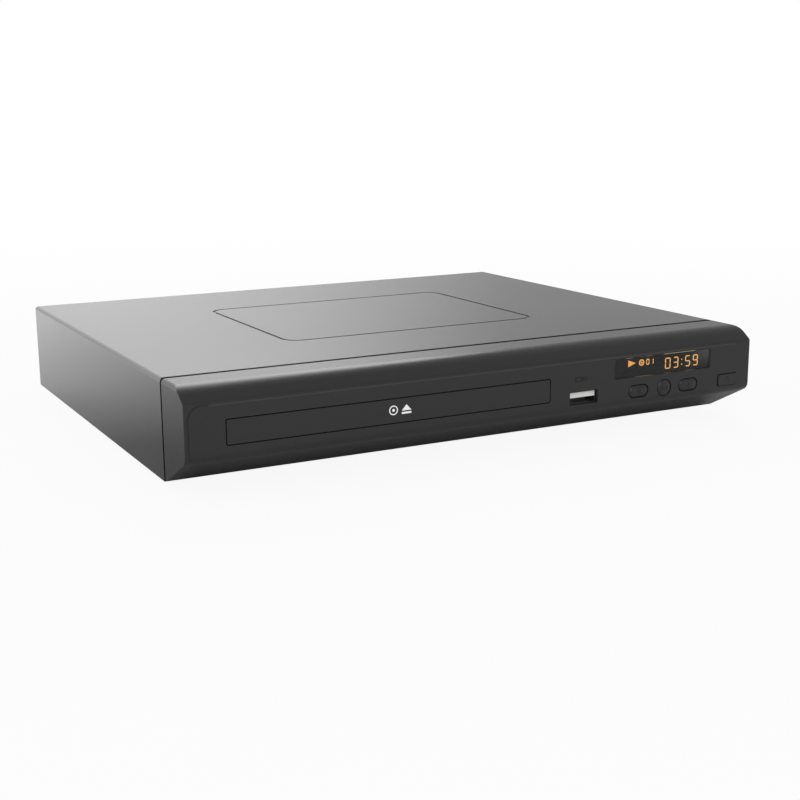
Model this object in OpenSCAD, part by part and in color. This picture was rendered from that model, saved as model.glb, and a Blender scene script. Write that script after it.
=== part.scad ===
// Slim disc player with a motor-driven loading tray, in millimetres.
// X runs across the front, Y towards the back, Z up. The origin is the middle of the
// footprint, on the surface that the rubber feet stand on.

/* [Housing] */
// Width over the steel cover
body_w = 250; // [248:1:300]
// Length of the steel cover, from the bezel to the back
cover_d = 191.5; // [190:0.5:230]
// Height of the housing without its feet
body_h = 37.9; // [37:0.1:48]
// Depth of the front bezel
bezel_d = 24; // [23:0.5:28]
// Thickness of the sheet steel
sheet_t = 0.8; // [0.6:0.1:1]
// Wall of the moulded bezel
bezel_wall = 2.2; // [1.8:0.1:2.6]
// Radius of the cover's two long top edges
cover_r = 1.5; // [1:0.1:2.5]
// Height of the rubber feet
foot_h = 2.4; // [2:0.1:5]
// Diameter of the rubber feet
foot_d = 18; // [12:1:22]
// Width of the reveal between the bezel and the cover
seam_gap = 1.3; // [0.5:0.1:1.6]

/* [Bezel form] */
// Radius of the rolled edge along the top of the bezel
brow_r = 14; // [10:0.5:15]
// Slope of the brow below the rolled edge
brow_slope = 34.5; // [32:0.5:37]
// Height of the brow's lower edge above the housing's underside
brow_edge = 32.9; // [32.6:0.1:33.4]
// Radius where the brow turns down into the front face
brow_edge_r = 1.5; // [1:0.1:2]
// Slope of the bezel's underside
chin_slope = 27.4; // [24:0.2:29]
// Radius where the front face turns under
chin_r = 4; // [3:0.25:5]
// How far the front panel stands proud of the bezel
plateau_t = 0.3; // [0.2:0.05:0.5]
// Corner radius of that raised panel
plateau_r = 5; // [3:0.5:6]

/* [Disc tray] */
// Diameter of the disc
disc_d = 120; // [120:0.5:120.5]
// Radial room round the disc in its pocket
disc_room = 0.8; // [0.5:0.1:1]
// Depth of the pocket
pocket_depth = 3.8; // [3:0.1:4]
// Width of the tray
tray_w = 128.6; // [128:0.1:129.2]
// Height of the tray from its runners to its rim
tray_h = 8.3; // [8.1:0.1:8.5]
// Travel of the tray from shut to open
tray_stroke = 135.6; // [120:0.2:137]
// Width of the slot in the tray that the spindle and pickup pass through
tray_slot_w = 38; // [36:0.5:42]
// Width of the tray's door
door_w = 133.4; // [132.8:0.1:135]
// Height of the tray's door
door_h = 8.9; // [8.8:0.1:9.6]
// Thickness of the tray's door
door_t = 3; // [2.6:0.1:3.2]
// Gap round the door and round each button
door_gap = 0.4; // [0.3:0.05:0.5]
// Distance from the housing's left side to the door's middle
door_from_left = 82; // [79:0.5:83]
// Height of the door's middle above the housing's underside
door_up = 21.7; // [21.5:0.1:22]

/* [Disc drive] */
// How far the spindle end of the traverse drops, in degrees
tilt_deg = 3; // [2.6:0.1:3.2]
// Sideways travel of the cam slider
cam_travel = 22; // [18:0.5:22]
// Travel of the optical pickup along its rods
pickup_travel = 35; // [30:0.5:36]
// Diameter of the two guide rods
rod_d = 3; // [2:0.1:3]
// Diameter of the lead screw
screw_d = 3; // [2:0.1:3]
// Teeth of the upper band of the loading gear, which drives the tray
rack_teeth = 24; // [24:1:25]
// Module of the tray's rack
rack_m = 1; // [1:0.05:1.05]
// Teeth of the lower band of the loading gear
drive_teeth = 36; // [34:1:36]
// Teeth of the pinion under the belt pulley
pinion_teeth = 14; // [14:1:15]
// Module of the lower band and its pinion
drive_m = 0.8; // [0.75:0.05:0.8]
// Radial running clearance of a shaft in its hole
run_fit = 0.06; // [0.03:0.01:0.09]

/* [Front panel] */
// Width of the display window
window_w = 49.1; // [44:0.1:52]
// Height of the display window
window_h = 8.2; // [7:0.1:9]
// Distance from the housing's right side to the window's middle
window_from_right = 45.85; // [42:0.05:48]
// Height of the window's middle above the housing's underside
window_up = 27; // [26.5:0.1:27.5]
// Length of the two oval buttons
oval_w = 9.5; // [9:0.1:11]
// Height of the two oval buttons
oval_h = 4.9; // [4.6:0.1:6]
// Diameter of the round button
round_d = 6.7; // [6:0.1:7.5]
// Width of the power button
power_w = 9.7; // [9:0.1:11]
// Height of the power button
power_h = 4.7; // [4.4:0.1:6]
// Gap round each button in the bezel
button_gap = 0.3; // [0.3:0.05:0.5]
// How far a button moves when pressed
button_travel = 0.5; // [0.3:0.05:0.55]
// How far the buttons stand proud of the panel
button_proud = 0.4; // [0.2:0.05:0.8]
// Spacing of the three transport buttons
button_pitch = 13.1; // [12.6:0.1:14]
// Height of the row of buttons above the housing's underside
button_up = 17; // [16.8:0.1:17.6]
// Width of the opening for the USB socket
usb_w = 13.4; // [13.2:0.1:14.4]
// Height of the opening for the USB socket
usb_h = 5.4; // [5.3:0.1:6.6]
// Distance from the housing's right side to the USB socket's middle
usb_from_right = 85.05; // [84:0.05:87]

/* [Rear panel] */
// Diameter of the metal sleeve of a phono jack
rca_d = 8.3; // [8.2:0.05:8.4]
// How far the phono jacks stand out behind the panel
rca_reach = 8.5; // [7.5:0.1:10]
// Spacing of the three phono jacks
rca_pitch = 14; // [13:0.5:16]
// Spacing of the two pins in the mains inlet
inlet_pitch = 8.6; // [8.4:0.1:8.8]

/* [Hidden] */
$fn = 64;

eps = 0.01;

// ---- places along Y: the footprint is centred on the origin
total_d = bezel_d + button_proud + cover_d + rca_reach;
seam_y = bezel_d + button_proud - total_d / 2;
front_y = seam_y - bezel_d;
back_y = seam_y + cover_d;

// ---- heights of the housing
base_z = foot_h;
top_z = foot_h + body_h;
pan_top = base_z + sheet_t;
inner_x = body_w / 2 - sheet_t;
pan_x = inner_x - 0.1;

// ---- bezel profile, in Y from the seam and Z above the underside
bezel_front = -(bezel_d - plateau_t);
brow_cy = bezel_front + (body_h - brow_edge) / tan(brow_slope) + brow_r * tan(brow_slope / 2);
brow_cz = body_h - brow_r;
chin_cz = -bezel_front * tan(chin_slope) + chin_r / tan(45 + chin_slope / 2);
end_r = 0.6;

// ---- the raised panel on the bezel
face_y = front_y + plateau_t;
panel_z0 = base_z + round(10 * (chin_cz - chin_r * cos(chin_slope)) - 3) / 10;
panel_z1 = base_z + brow_edge - 0.6 * brow_edge_r;
panel_edge = 1.5;

// ---- tray door and disc tray
door_x = -body_w / 2 + door_from_left;
door_z = base_z + door_up;
slot_w = door_w + 2 * door_gap;
slot_h = door_h + 2 * door_gap;
tray_front = front_y + door_t;
tray_z0 = door_z - tray_h / 2;
tray_z1 = door_z + tray_h / 2;
pocket_r = disc_d / 2 + disc_room;
pocket_z = tray_z1 - pocket_depth;
floor_t = 1.4;
skin = 1.6;
pocket_margin = 8;
disc_y = tray_front + pocket_margin + pocket_r;
tray_back = disc_y + pocket_r + 35.2;
runner_t = 2;
tray_gap = 0.3;
slide_gap = 0.4;

// ---- loader frame
frame_wall = 2;
frame_in = tray_w / 2 + slide_gap;
frame_out = frame_in + frame_wall;
frame_front = tray_front + 4.8;
frame_back = tray_back + 4;
frame_z0 = pan_top + 4.8;
frame_z1 = tray_z1 + 1.75;
flange_t = 1.6;
ledge_w = 2.5;
ledge_z1 = tray_z0 - tray_gap;
deck_z1 = tray_z0 - 5.35;
deck_z0 = deck_z1 - flange_t;
deck_back = disc_y - 22.9;

// ---- turntable and clamper
seat_z = pocket_z + 1.8;
cone_z = seat_z + 2.15;
cone_r = 7.3;
clamp_z0 = seat_z + 0.4;
bridge_z0 = frame_z1 + 2;
bridge_t = 1.2;
hub_r = 14;

// ---- traverse: a lifting frame hinged at its back end
hinge_y = disc_y + 90;
hinge_z = deck_z0 - 1;
trav_w = 100;
trav_front = disc_y - 22;
trav_z0 = deck_z0 - 2;
trav_z1 = tray_z0 - 0.95;
trav_wall = 2.2;
plate_z0 = deck_z0 + 1;
plate_t = 1.2;
plate_z1 = plate_z0 + plate_t;
rod_off = 24.5;
rod_z = plate_z1 + rod_d / 2 + 0.2;
lens_y = disc_y + 23;
sled_top = tray_z0 - 0.55;
screw_x = door_x + 32;
screw_z = plate_z1;
cam_x = door_x - 37;
cam_pin_r = 1.5;
cam_y = trav_front - 3.6;
cam_drop = (hinge_y - cam_y + 1.2) * sin(tilt_deg);
cam_z = deck_z1 + 0.4;

// ---- loading gears
rack_r = rack_m * rack_teeth / 2;
rack_x = door_x + tray_w / 2 - runner_t - 3;
gear_x = rack_x - rack_r;
gear_y = disc_y - 45;
mesh_r = drive_m * (drive_teeth + pinion_teeth) / 2;
pulley_x = gear_x - mesh_r;
motor_x = pulley_x - 20.3;
motor_y = gear_y + 8;
pulley_r = 9;
motor_pulley_r = 2.25;
belt_t = 1.3;
belt_z = deck_z1 + 1.5;
post_r = 1.5;

// ---- front board
board_t = 1.6;
board_y = front_y + 11.8;
board_x0 = door_x + frame_out + 5.3;
board_x1 = body_w / 2 - 4;
board_z0 = base_z + 9.4;
board_z1 = base_z + body_h - 5;
window_x = body_w / 2 - window_from_right;
window_z = base_z + window_up;
button_z = base_z + button_up;
play_x = body_w / 2 - 45.1;
stop_x = play_x - button_pitch;
eject_x = play_x + button_pitch - 0.8;
power_x = body_w / 2 - 11.95;
usb_x = body_w / 2 - usb_from_right;
usb_z = button_z + 0.3;

// ---- boards at the back
main_z = pan_top + 5;
board_top = main_z + board_t;
side_room = 8;
board_room = 10;
psu_w = 74;
psu_len = 126;
psu_x1 = body_w / 2 - side_room;
psu_x0 = psu_x1 - psu_w;
psu_y1 = back_y - sheet_t - 1.2;
psu_y0 = psu_y1 - psu_len;
main_x0 = -body_w / 2 + side_room;
main_x1 = psu_x0 - board_room;
main_y0 = frame_back + 3;
main_y1 = psu_y1;
jack_z = board_top + 8;
rca_x = main_x0 + 22;
hdmi_x = rca_x + 3 * rca_pitch + 14;
inlet_x = body_w / 2 - 32;

// A block between two corners.
module block(x0, x1, y0, y1, z0, z1) {
    translate([x0, y0, z0]) cube([x1 - x0, y1 - y0, z1 - z0]);
}

// An upright post or hole.
module post(x, y, z0, z1, r) {
    translate([x, y, z0]) cylinder(h = z1 - z0, r = r);
}

// A cylinder along Y.
module rod_y(x, z, y0, y1, r) {
    translate([x, y1, z]) rotate([90, 0, 0]) cylinder(h = y1 - y0, r = r);
}

// A cylinder along X.
module rod_x(y, z, x0, x1, r) {
    translate([x0, y, z]) rotate([0, 90, 0]) cylinder(h = x1 - x0, r = r);
}

// A rectangle with round corners, centred.
module round_rect(w, h, r) {
    square([w - 2 * r, h], center = true);
    square([w, h - 2 * r], center = true);
    for (sx = [-1, 1], sy = [-1, 1])
        translate([sx * (w / 2 - r), sy * (h / 2 - r)]) circle(r = r);
}

// A plate with round corners, lying flat.
module round_plate(x, y, z0, z1, w, d, r) {
    translate([x, y, z0]) linear_extrude(z1 - z0) round_rect(w, d, r);
}

// A plate with round corners, standing up and facing the front.
module face_plate(x, z, y0, y1, w, h, r) {
    translate([x, y1, z]) rotate([90, 0, 0]) linear_extrude(y1 - y0) round_rect(w, h, r);
}

// Points of an arc.
function arc(cx, cy, r, a0, a1, n) =
    [for (i = [0:n]) [cx + r * cos(a0 + (a1 - a0) * i / n), cy + r * sin(a0 + (a1 - a0) * i / n)]];

// Section of the bezel, w inside its outer face: flat top, rolled edge, sloping brow,
// upright face and chin, with small rolls between the last three.
module bezel_section(w) {
    y = bezel_front + w;
    br = brow_r - w;
    cr = max(chin_r - w, 0.3);
    cy = y + cr;
    cz = -y * tan(chin_slope) + w / cos(chin_slope) + cr / tan(45 + chin_slope / 2);
    er = max(brow_edge_r - w, 0.3);
    ez = brow_edge - (w + er) * tan(45 - brow_slope / 2);
    polygon([[0, body_h - w], [brow_cy, body_h - w], [brow_cy, brow_cz],
        [brow_cy - br * sin(brow_slope), brow_cz + br * cos(brow_slope)],
        [y + er * (1 - sin(brow_slope)), ez + er * cos(brow_slope)], [y + er, ez], [y, ez],
        [y, cz], [cy, cz],
        [cy - cr * sin(chin_slope), cz - cr * cos(chin_slope)], [0, w / cos(chin_slope)]]);
    intersection() {
        translate([brow_cy, brow_cz]) circle(r = br);
        polygon([[brow_cy, brow_cz - eps], [brow_cy, body_h + 1],
            [brow_cy - (brow_r + 1) * tan(brow_slope), body_h + 1]]);
    }
    intersection() {
        translate([y + er, ez]) circle(r = er);
        translate([y - 1, ez - eps]) square([er + 1 + eps, er + 1]);
    }
    intersection() {
        translate([cy, cz]) circle(r = cr);
        translate([y - 1, cz - cr - 1]) square([cr + 1 + eps, cr + 1 + eps]);
    }
}

// A bezel section drawn out along X.
module bezel_run(x0, x1, w) {
    translate([x0, seam_y, base_z]) rotate([90, 0, 90]) linear_extrude(x1 - x0) bezel_section(w);
}

// Involute tooth: half the tooth's angle at radius r, for n teeth of module m.
pressure = 20;
backlash = 0.16;
function involute(a) = tan(a) * 180 / PI - a;
function half_tooth(n, m, r) = let (rb = m * n / 2 * cos(pressure), q = max(r, rb))
    90 / n - backlash / (m * n) * 90 / PI + involute(pressure) - involute(acos(rb / q));

// Outline of a gear with short involute teeth; tooth 0 points along X.
function gear_outline(n, m) = let (
    rp = m * n / 2, rf = rp - 1.1 * m, ra = rp + 0.8 * m,
    rs = [rf, rp - 0.45 * m, rp, rp + 0.4 * m, ra]
) [for (k = [0:n - 1], side = [-1, 1], j = [0:4])
    let (r = rs[side < 0 ? j : 4 - j], a = k * 360 / n + side * half_tooth(n, m, r))
    [r * cos(a), r * sin(a)]];

module gear_band(n, m, z0, z1, turn) {
    translate([0, 0, z0]) rotate([0, 0, turn]) linear_extrude(z1 - z0) polygon(gear_outline(n, m));
}

// ================= housing =================

crease_x = 2.3;
crease_y = seam_y + 91.2;
crease_w = 119.6;
crease_d = 94;
crease_r = 7.4;
crease_t = 1.3;
crease_deep = 0.35;

// Painted steel cover: a sheet folded down on both sides, with a creased outline on top.
module top_cover() color([0.22, 0.22, 0.23]) difference() {
    union() {
        translate([0, back_y, 0]) rotate([90, 0, 0]) linear_extrude(back_y - seam_y - seam_gap / 2)
            difference() {
                cover_outline(body_w / 2, top_z, cover_r);
                cover_outline(inner_x, top_z - sheet_t, cover_r - 0.6 * sheet_t);
                translate([-body_w, base_z - body_h]) square([2 * body_w, body_h]);
            }
        for (p = high_screws) {
            face_plate(p[0], p[1] + 0.8, back_y, back_y + sheet_t, 14, 10, 2);
            block(p[0] - 7, p[0] + 7, back_y - eps, back_y + sheet_t, top_z - sheet_t, top_z - 0.1);
        }
    }
    for (p = high_screws) rod_y(p[0], p[1], back_y - 1, back_y + sheet_t + 1, 1.6);
    translate([crease_x, crease_y, top_z - crease_deep]) linear_extrude(1) difference() {
        round_rect(crease_w, crease_d, crease_r);
        round_rect(crease_w - 2 * crease_t, crease_d - 2 * crease_t, crease_r - crease_t);
    }
}

// Upper outline of the folded sheet, open below.
module cover_outline(half_w, z1, r) {
    translate([-half_w, base_z - 2]) square([2 * half_w, z1 - base_z + 2 - r]);
    translate([-half_w + r, base_z - 2]) square([2 * (half_w - r), z1 - base_z + 2]);
    for (s = [-1, 1]) translate([s * (half_w - r), z1 - r]) circle(r = r);
}

pan_y0 = seam_y + 0.6;
pan_y1 = back_y - sheet_t;
flange_h = 9;
loader_lug = [[-1, disc_y - 26], [1, disc_y - 26], [-1, disc_y + 82], [1, disc_y + 82]];
lug_x = frame_out + 4.8;
stand_r = 4;
tap_r = 1.3;
foot_x = body_w / 2 - 25;
foot_y0 = seam_y + 20;
foot_y1 = back_y - 18;

// Steel base pan: folded sides, pressed stand-offs and rows of air slots.
module chassis_pan() color([0.62, 0.63, 0.65]) difference() {
    union() {
        block(-pan_x, pan_x, pan_y0, pan_y1, base_z, pan_top);
        for (s = [-1, 1]) block(s > 0 ? pan_x - sheet_t : -pan_x, s > 0 ? pan_x : -pan_x + sheet_t,
            pan_y0, pan_y1, base_z, base_z + flange_h);
        for (l = loader_lug) post(door_x + l[0] * lug_x, l[1], base_z, frame_z0, stand_r);
        for (p = board_posts) post(p[0], p[1], base_z, main_z, 3);
        for (p = low_screws) block(p[0] - 6, p[0] + 6, pan_y1 - sheet_t, pan_y1, base_z, p[1] + 3.2);
    }
    for (p = low_screws) rod_y(p[0], p[1], pan_y1 - 2, pan_y1 + 1, 1.47);
    for (l = loader_lug) post(door_x + l[0] * lug_x, l[1], base_z + 0.8, frame_z0 + 1, tap_r);
    for (p = board_posts) post(p[0], p[1], base_z + 0.8, main_z + 1, tap_r);
    for (i = [0:8]) air_slot(psu_x0 + 8 + 7 * i, psu_y0 + 36);
    for (i = [0:5]) air_slot(door_x - 20 + 8 * i, disc_y + 44);
}

module air_slot(x, y) {
    round_plate(x, y, base_z - 1, pan_top + 1, 2.6, 22, 1.25);
}

board_posts = concat(
    [[main_x0 + 4, main_y0 + 4], [main_x1 - 4, main_y0 + 4],
        [main_x0 + 54, main_y1 - 5], [main_x1 - 4, main_y1 - 5]],
    [for (x = [psu_x0 + 4, psu_x1 - 4], y = [psu_y0 + 4, psu_y1 - 5]) [x, y]]);

hdmi_w = 15;
hdmi_h = 5.7;
inlet_w = 21;
inlet_h = 12;
inlet_z = board_top + 9;
fit_gap = 0.25;

// Steel back panel with its cut-outs, folded over at the top and sides.
module rear_panel() color([0.24, 0.24, 0.25]) difference() {
    union() {
        face_plate(0, (base_z + top_z - sheet_t) / 2, pan_y1, back_y, 2 * pan_x,
            top_z - sheet_t - base_z, cover_r);
        block(-pan_x + 3, pan_x - 3, pan_y1 - 9, pan_y1, top_z - 2 * sheet_t, top_z - sheet_t);
        for (s = [-1, 1]) block(s > 0 ? pan_x - 2 * sheet_t : -pan_x + sheet_t,
            s > 0 ? pan_x - sheet_t : -pan_x + 2 * sheet_t,
            pan_y1 - 9, pan_y1, pan_top + 0.3, top_z - 2.5);
    }
    face_plate(rca_x, jack_z, pan_y1 - 1, back_y + 1, 3 * rca_pitch, 13, 1);
    face_plate(hdmi_x, board_top + 3.2, pan_y1 - 1, back_y + 1,
        hdmi_w + 2 * fit_gap, hdmi_h + 2 * fit_gap, 0.4);
    face_plate(inlet_x, inlet_z, pan_y1 - 1, back_y + 1,
        inlet_w + 2 * fit_gap, inlet_h + 2 * fit_gap, 2);
    for (i = [0:10]) face_plate(psu_x0 - 28 + 6 * i, base_z + 24, pan_y1 - 1, back_y + 1, 2.6, 14, 1.25);
    for (p = concat(high_screws, low_screws)) rod_y(p[0], p[1], pan_y1 - 1, back_y + 1, 1.6);
}

high_screws = [[-pan_x + 12, top_z - 6], [0, top_z - 6], [pan_x - 12, top_z - 6]];
low_screws = [[-pan_x + 12, pan_top + 3.2], [pan_x - 12, pan_top + 3.2]];

// Self-tapping screws: three through the cover's tabs, two into the base pan's tabs.
module rear_screws() color([0.15, 0.15, 0.16]) {
    for (p = high_screws) screw_in(p[0], p[1], back_y + sheet_t);
    for (p = low_screws) screw_in(p[0], p[1], back_y);
}

// Screw driven in from behind; its head stands on the plane y.
module screw_in(x, z, y) {
    rod_y(x, z, y - 4, y + eps, 1.45);
    difference() {
        rod_y(x, z, y, y + 1.8, 2.9);
        block(x - 1.8, x + 1.8, y + 0.9, y + 2, z - 0.35, z + 0.35);
        block(x - 0.35, x + 0.35, y + 0.9, y + 2, z - 1.8, z + 1.8);
    }
}

// Round rubber feet, slightly dished underneath.
module rubber_feet() color([0.08, 0.08, 0.08]) for (x = [-foot_x, foot_x], y = [foot_y0, foot_y1])
    translate([x, y, 0]) rotate_extrude() polygon([[0, 0.5], [foot_d / 2 - 4, 0.5],
        [foot_d / 2 - 3.6, 0], [foot_d / 2 - 0.8, 0], [foot_d / 2, 0.8], [foot_d / 2, foot_h], [0, foot_h]]);

lip_in = sheet_t + 0.5;
lip_t = 1.6;
lip_len = 6;
cut_deep = 9;

// Moulded bezel: a rolled brow, a raised flat panel and a chin that runs back to the base.
module front_bezel() color([0.17, 0.17, 0.175]) difference() {
    union() {
        difference() {
            union() {
                intersection() {
                    bezel_run(-body_w / 2, body_w / 2, 0);
                    round_plate(0, front_y + 50, -1, top_z + 1, body_w, 100, end_r);
                    translate([0, seam_y + 1, 0]) rotate([90, 0, 0]) linear_extrude(bezel_d + 2)
                        cover_outline(body_w / 2, top_z, cover_r);
                }
                intersection() {
                    bezel_run(-body_w / 2 + 1, body_w / 2 - 1, -plateau_t);
                    face_plate(0, (panel_z0 + panel_z1) / 2, front_y - 1, front_y + 8,
                        body_w - 2 * panel_edge, panel_z1 - panel_z0, plateau_r);
                }
            }
            bezel_run(-body_w / 2 + bezel_wall, body_w / 2 - bezel_wall, bezel_wall);
            block(-body_w / 2 - 1, body_w / 2 + 1, seam_y - seam_gap / 2, seam_y + 1, -1, top_z + 1);
        }
        bezel_lip();
        intersection() {
            for (p = board_boss) rod_y(p[0], p[1], face_y + 0.5, board_y, 2.2);
            bezel_run(board_x0 - 5, board_x1 + 3, 0.5);
        }
    }
    face_plate(door_x, door_z, front_y - 1, front_y + cut_deep, slot_w, slot_h, 0.8);
    face_plate(window_x, window_z, front_y - 1, front_y + cut_deep - 3, window_w, window_h, 0.5);
    face_plate(usb_x, usb_z, front_y - 1, front_y + cut_deep, usb_w, usb_h, 0.3);
    for (x = [stop_x, eject_x])
        face_plate(x, button_z, front_y - 1, front_y + cut_deep, oval_w + 2 * button_gap,
            oval_h + 2 * button_gap, oval_h / 2 + button_gap - eps);
    rod_y(play_x, button_z, front_y - 1, front_y + cut_deep, round_d / 2 + button_gap);
    face_plate(power_x, button_z, front_y - 1, front_y + cut_deep, power_w + 2 * button_gap,
        power_h + 2 * button_gap, 0.9);
    for (p = board_boss) rod_y(p[0], p[1], board_y - 6, board_y + 1, 0.9);
}

// Tongue behind the bezel's edge that slips inside the cover and over the pan.
module bezel_lip() {
    lx = body_w / 2 - lip_in;
    y0 = seam_y - 4;
    y1 = seam_y + lip_len;
    block(-lx, lx, y0, y1, top_z - sheet_t - 0.2 - lip_t, top_z - sheet_t - 0.2);
    for (s = [-1, 1]) block(s > 0 ? lx - lip_t : -lx, s > 0 ? lx : -lx + lip_t, y0, y1,
        base_z + flange_h + 1, top_z - sheet_t - 0.2 - eps);
}

board_boss = [[board_x0 + 4, board_z1 - 4], [board_x1 - 4, board_z1 - 4],
    [board_x0 + 23, board_z0 + 2.2], [board_x1 - 4, board_z0 + 2.2]];

// ================= front panel =================

inner_y = face_y + bezel_wall;

// Tinted window, set a little back in its opening.
module display_window() color([0.05, 0.05, 0.05, 0.8]) {
    face_plate(window_x, window_z, front_y + 0.7, inner_y, window_w - 0.2, window_h - 0.2, 0.4);
    block(window_x - window_w / 2 - 1.2, window_x + window_w / 2 + 1.2, inner_y, inner_y + 0.8,
        window_z - window_h / 2 - 1.2, window_z + window_h / 2 - 0.1);
}

// Display behind the window, on the front board.
module display_module() color([0.1, 0.1, 0.1]) {
    block(window_x - 22, window_x + 16, inner_y + 0.8, board_y,
        window_z - window_h / 2 - 0.6, window_z + window_h / 2 - 0.4);
}

// Infrared receiver beside the display.
module ir_receiver() color([0.08, 0.07, 0.09]) {
    block(window_x + 17, window_x + 23, board_y - 4.2, board_y, window_z - 3, window_z + 3.5);
    rod_y(window_x + 20, window_z, inner_y + 1, board_y - 4.2 + eps, 2.2);
}

dome_rise = 0.45;

// Cap with round ends and a shallow dome, whose crest is the button's front.
module domed_cap(x, w, h) {
    half = h / 2;
    ball = (half * half + dome_rise * dome_rise) / (2 * dome_rise);
    y = front_y - button_proud;
    intersection() {
        face_plate(x, button_z, y, inner_y + 1.3, w, h, half - eps);
        union() {
            for (s = w > h ? [-1, 1] : [0]) translate([x + s * (w - h) / 2, y + ball, button_z])
                sphere(r = ball);
            if (w > h) rod_x(y + ball, button_z, x - (w - h) / 2, x + (w - h) / 2, ball);
        }
    }
}

// A moulded button: its cap, side wings that keep it behind the bezel, and stem.
module button(x, w) {
    tip = board_y - tact_h - button_travel - 0.1;
    children();
    block(x - w / 2 - 1, x + w / 2 + 1, inner_y + 0.3, inner_y + 1.3, button_z - 1.5, button_z + 1.5);
    rod_y(x, button_z, inner_y + 1, tip, 1.6);
}

tact_h = 4.3;

module stop_button() color([0.15, 0.15, 0.155])
    button(stop_x, oval_w) domed_cap(stop_x, oval_w, oval_h);
module play_button() color([0.15, 0.15, 0.155])
    button(play_x, round_d) domed_cap(play_x, round_d, round_d);
module eject_button() color([0.15, 0.15, 0.155])
    button(eject_x, oval_w) domed_cap(eject_x, oval_w, oval_h);
module power_button() color([0.15, 0.15, 0.155]) button(power_x, power_w)
    face_plate(power_x, button_z, front_y - button_proud, inner_y + 1.3, power_w, power_h, 0.7);

// Push switches behind the four buttons.
module tact_switches() color([0.3, 0.3, 0.32]) for (x = [stop_x, play_x, eject_x, power_x]) {
    block(x - 3, x + 3, board_y - 3.5, board_y, button_z - 3, button_z + 3);
    rod_y(x, button_z, board_y - tact_h, board_y - 3.5 + eps, 1.7);
}

// Socket's folded steel shell.
module usb_shell() color([0.75, 0.75, 0.77]) difference() {
    block(usb_x - usb_w / 2 + 0.1, usb_x + usb_w / 2 - 0.1, front_y + 1.9, board_y,
        usb_z - usb_h / 2 + 0.1, usb_z + usb_h / 2 - 0.1);
    block(usb_x - usb_w / 2 + 0.4, usb_x + usb_w / 2 - 0.4, front_y, board_y - 0.6,
        usb_z - usb_h / 2 + 0.4, usb_z + usb_h / 2 - 0.4);
}

// Pale insulating tongue in the top half of the socket.
module usb_tongue() color([0.88, 0.88, 0.86]) {
    block(usb_x - 6, usb_x + 6, front_y + 1.4, board_y - 0.6, usb_z, usb_z + 2.05);
    block(usb_x - usb_w / 2 + 0.4, usb_x + usb_w / 2 - 0.4, board_y - 3, board_y - 0.6,
        usb_z - usb_h / 2 + 0.4, usb_z + usb_h / 2 - 0.4);
}

// Circuit board behind the bezel.
module front_board() color([0.35, 0.25, 0.1]) difference() {
    block(board_x0, board_x1, board_y, board_y + board_t, board_z0, board_z1);
    for (p = board_boss) rod_y(p[0], p[1], board_y - 1, board_y + board_t + 1, 1.2);
}

ribbon_x = board_x0 + 5.2;
ribbon_w = 9;
ribbon_t = 0.8;
ribbon_y = seam_y + 4;
ribbon_z = pan_top + 1.6;

// Flat ribbon from the front board, down behind the bezel, along the floor and up again.
module front_ribbon() color([0.8, 0.8, 0.78]) {
    z = board_z0 + 5;
    x1 = ribbon_x + ribbon_w;
    y1 = main_y0 - 1;
    plug_x = main_x1 - 8 - ribbon_w;
    block(ribbon_x, x1, board_y + board_t, board_y + board_t + 3, z - 1.5, z + 2.5);
    block(ribbon_x, x1, board_y + board_t, ribbon_y + ribbon_t, z, z + ribbon_t);
    block(ribbon_x, x1, ribbon_y, ribbon_y + ribbon_t, ribbon_z, z + ribbon_t);
    block(ribbon_x, x1, ribbon_y, y1, ribbon_z, ribbon_z + ribbon_t);
    block(min(plug_x, ribbon_x), max(plug_x + ribbon_w, x1), y1 - ribbon_w, y1,
        ribbon_z, ribbon_z + ribbon_t);
    block(plug_x, plug_x + ribbon_w, y1 - ribbon_t, y1, ribbon_z, board_top + 3);
    block(plug_x, plug_x + ribbon_w, y1 - ribbon_t, main_y0 + 4, board_top, board_top + 3);
}

// ================= disc loader =================

tab_y = [frame_front + 10, disc_y + 2, frame_back - 16];
fx0 = door_x - frame_out;
fx1 = door_x + frame_out;
gate_w = trav_w / 2 + 2;
bearing_x = trav_w / 2 + 1.8;
bearing_t = 2.2;
trunnion_r = 2;
seat_y = disc_y - 12;

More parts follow.
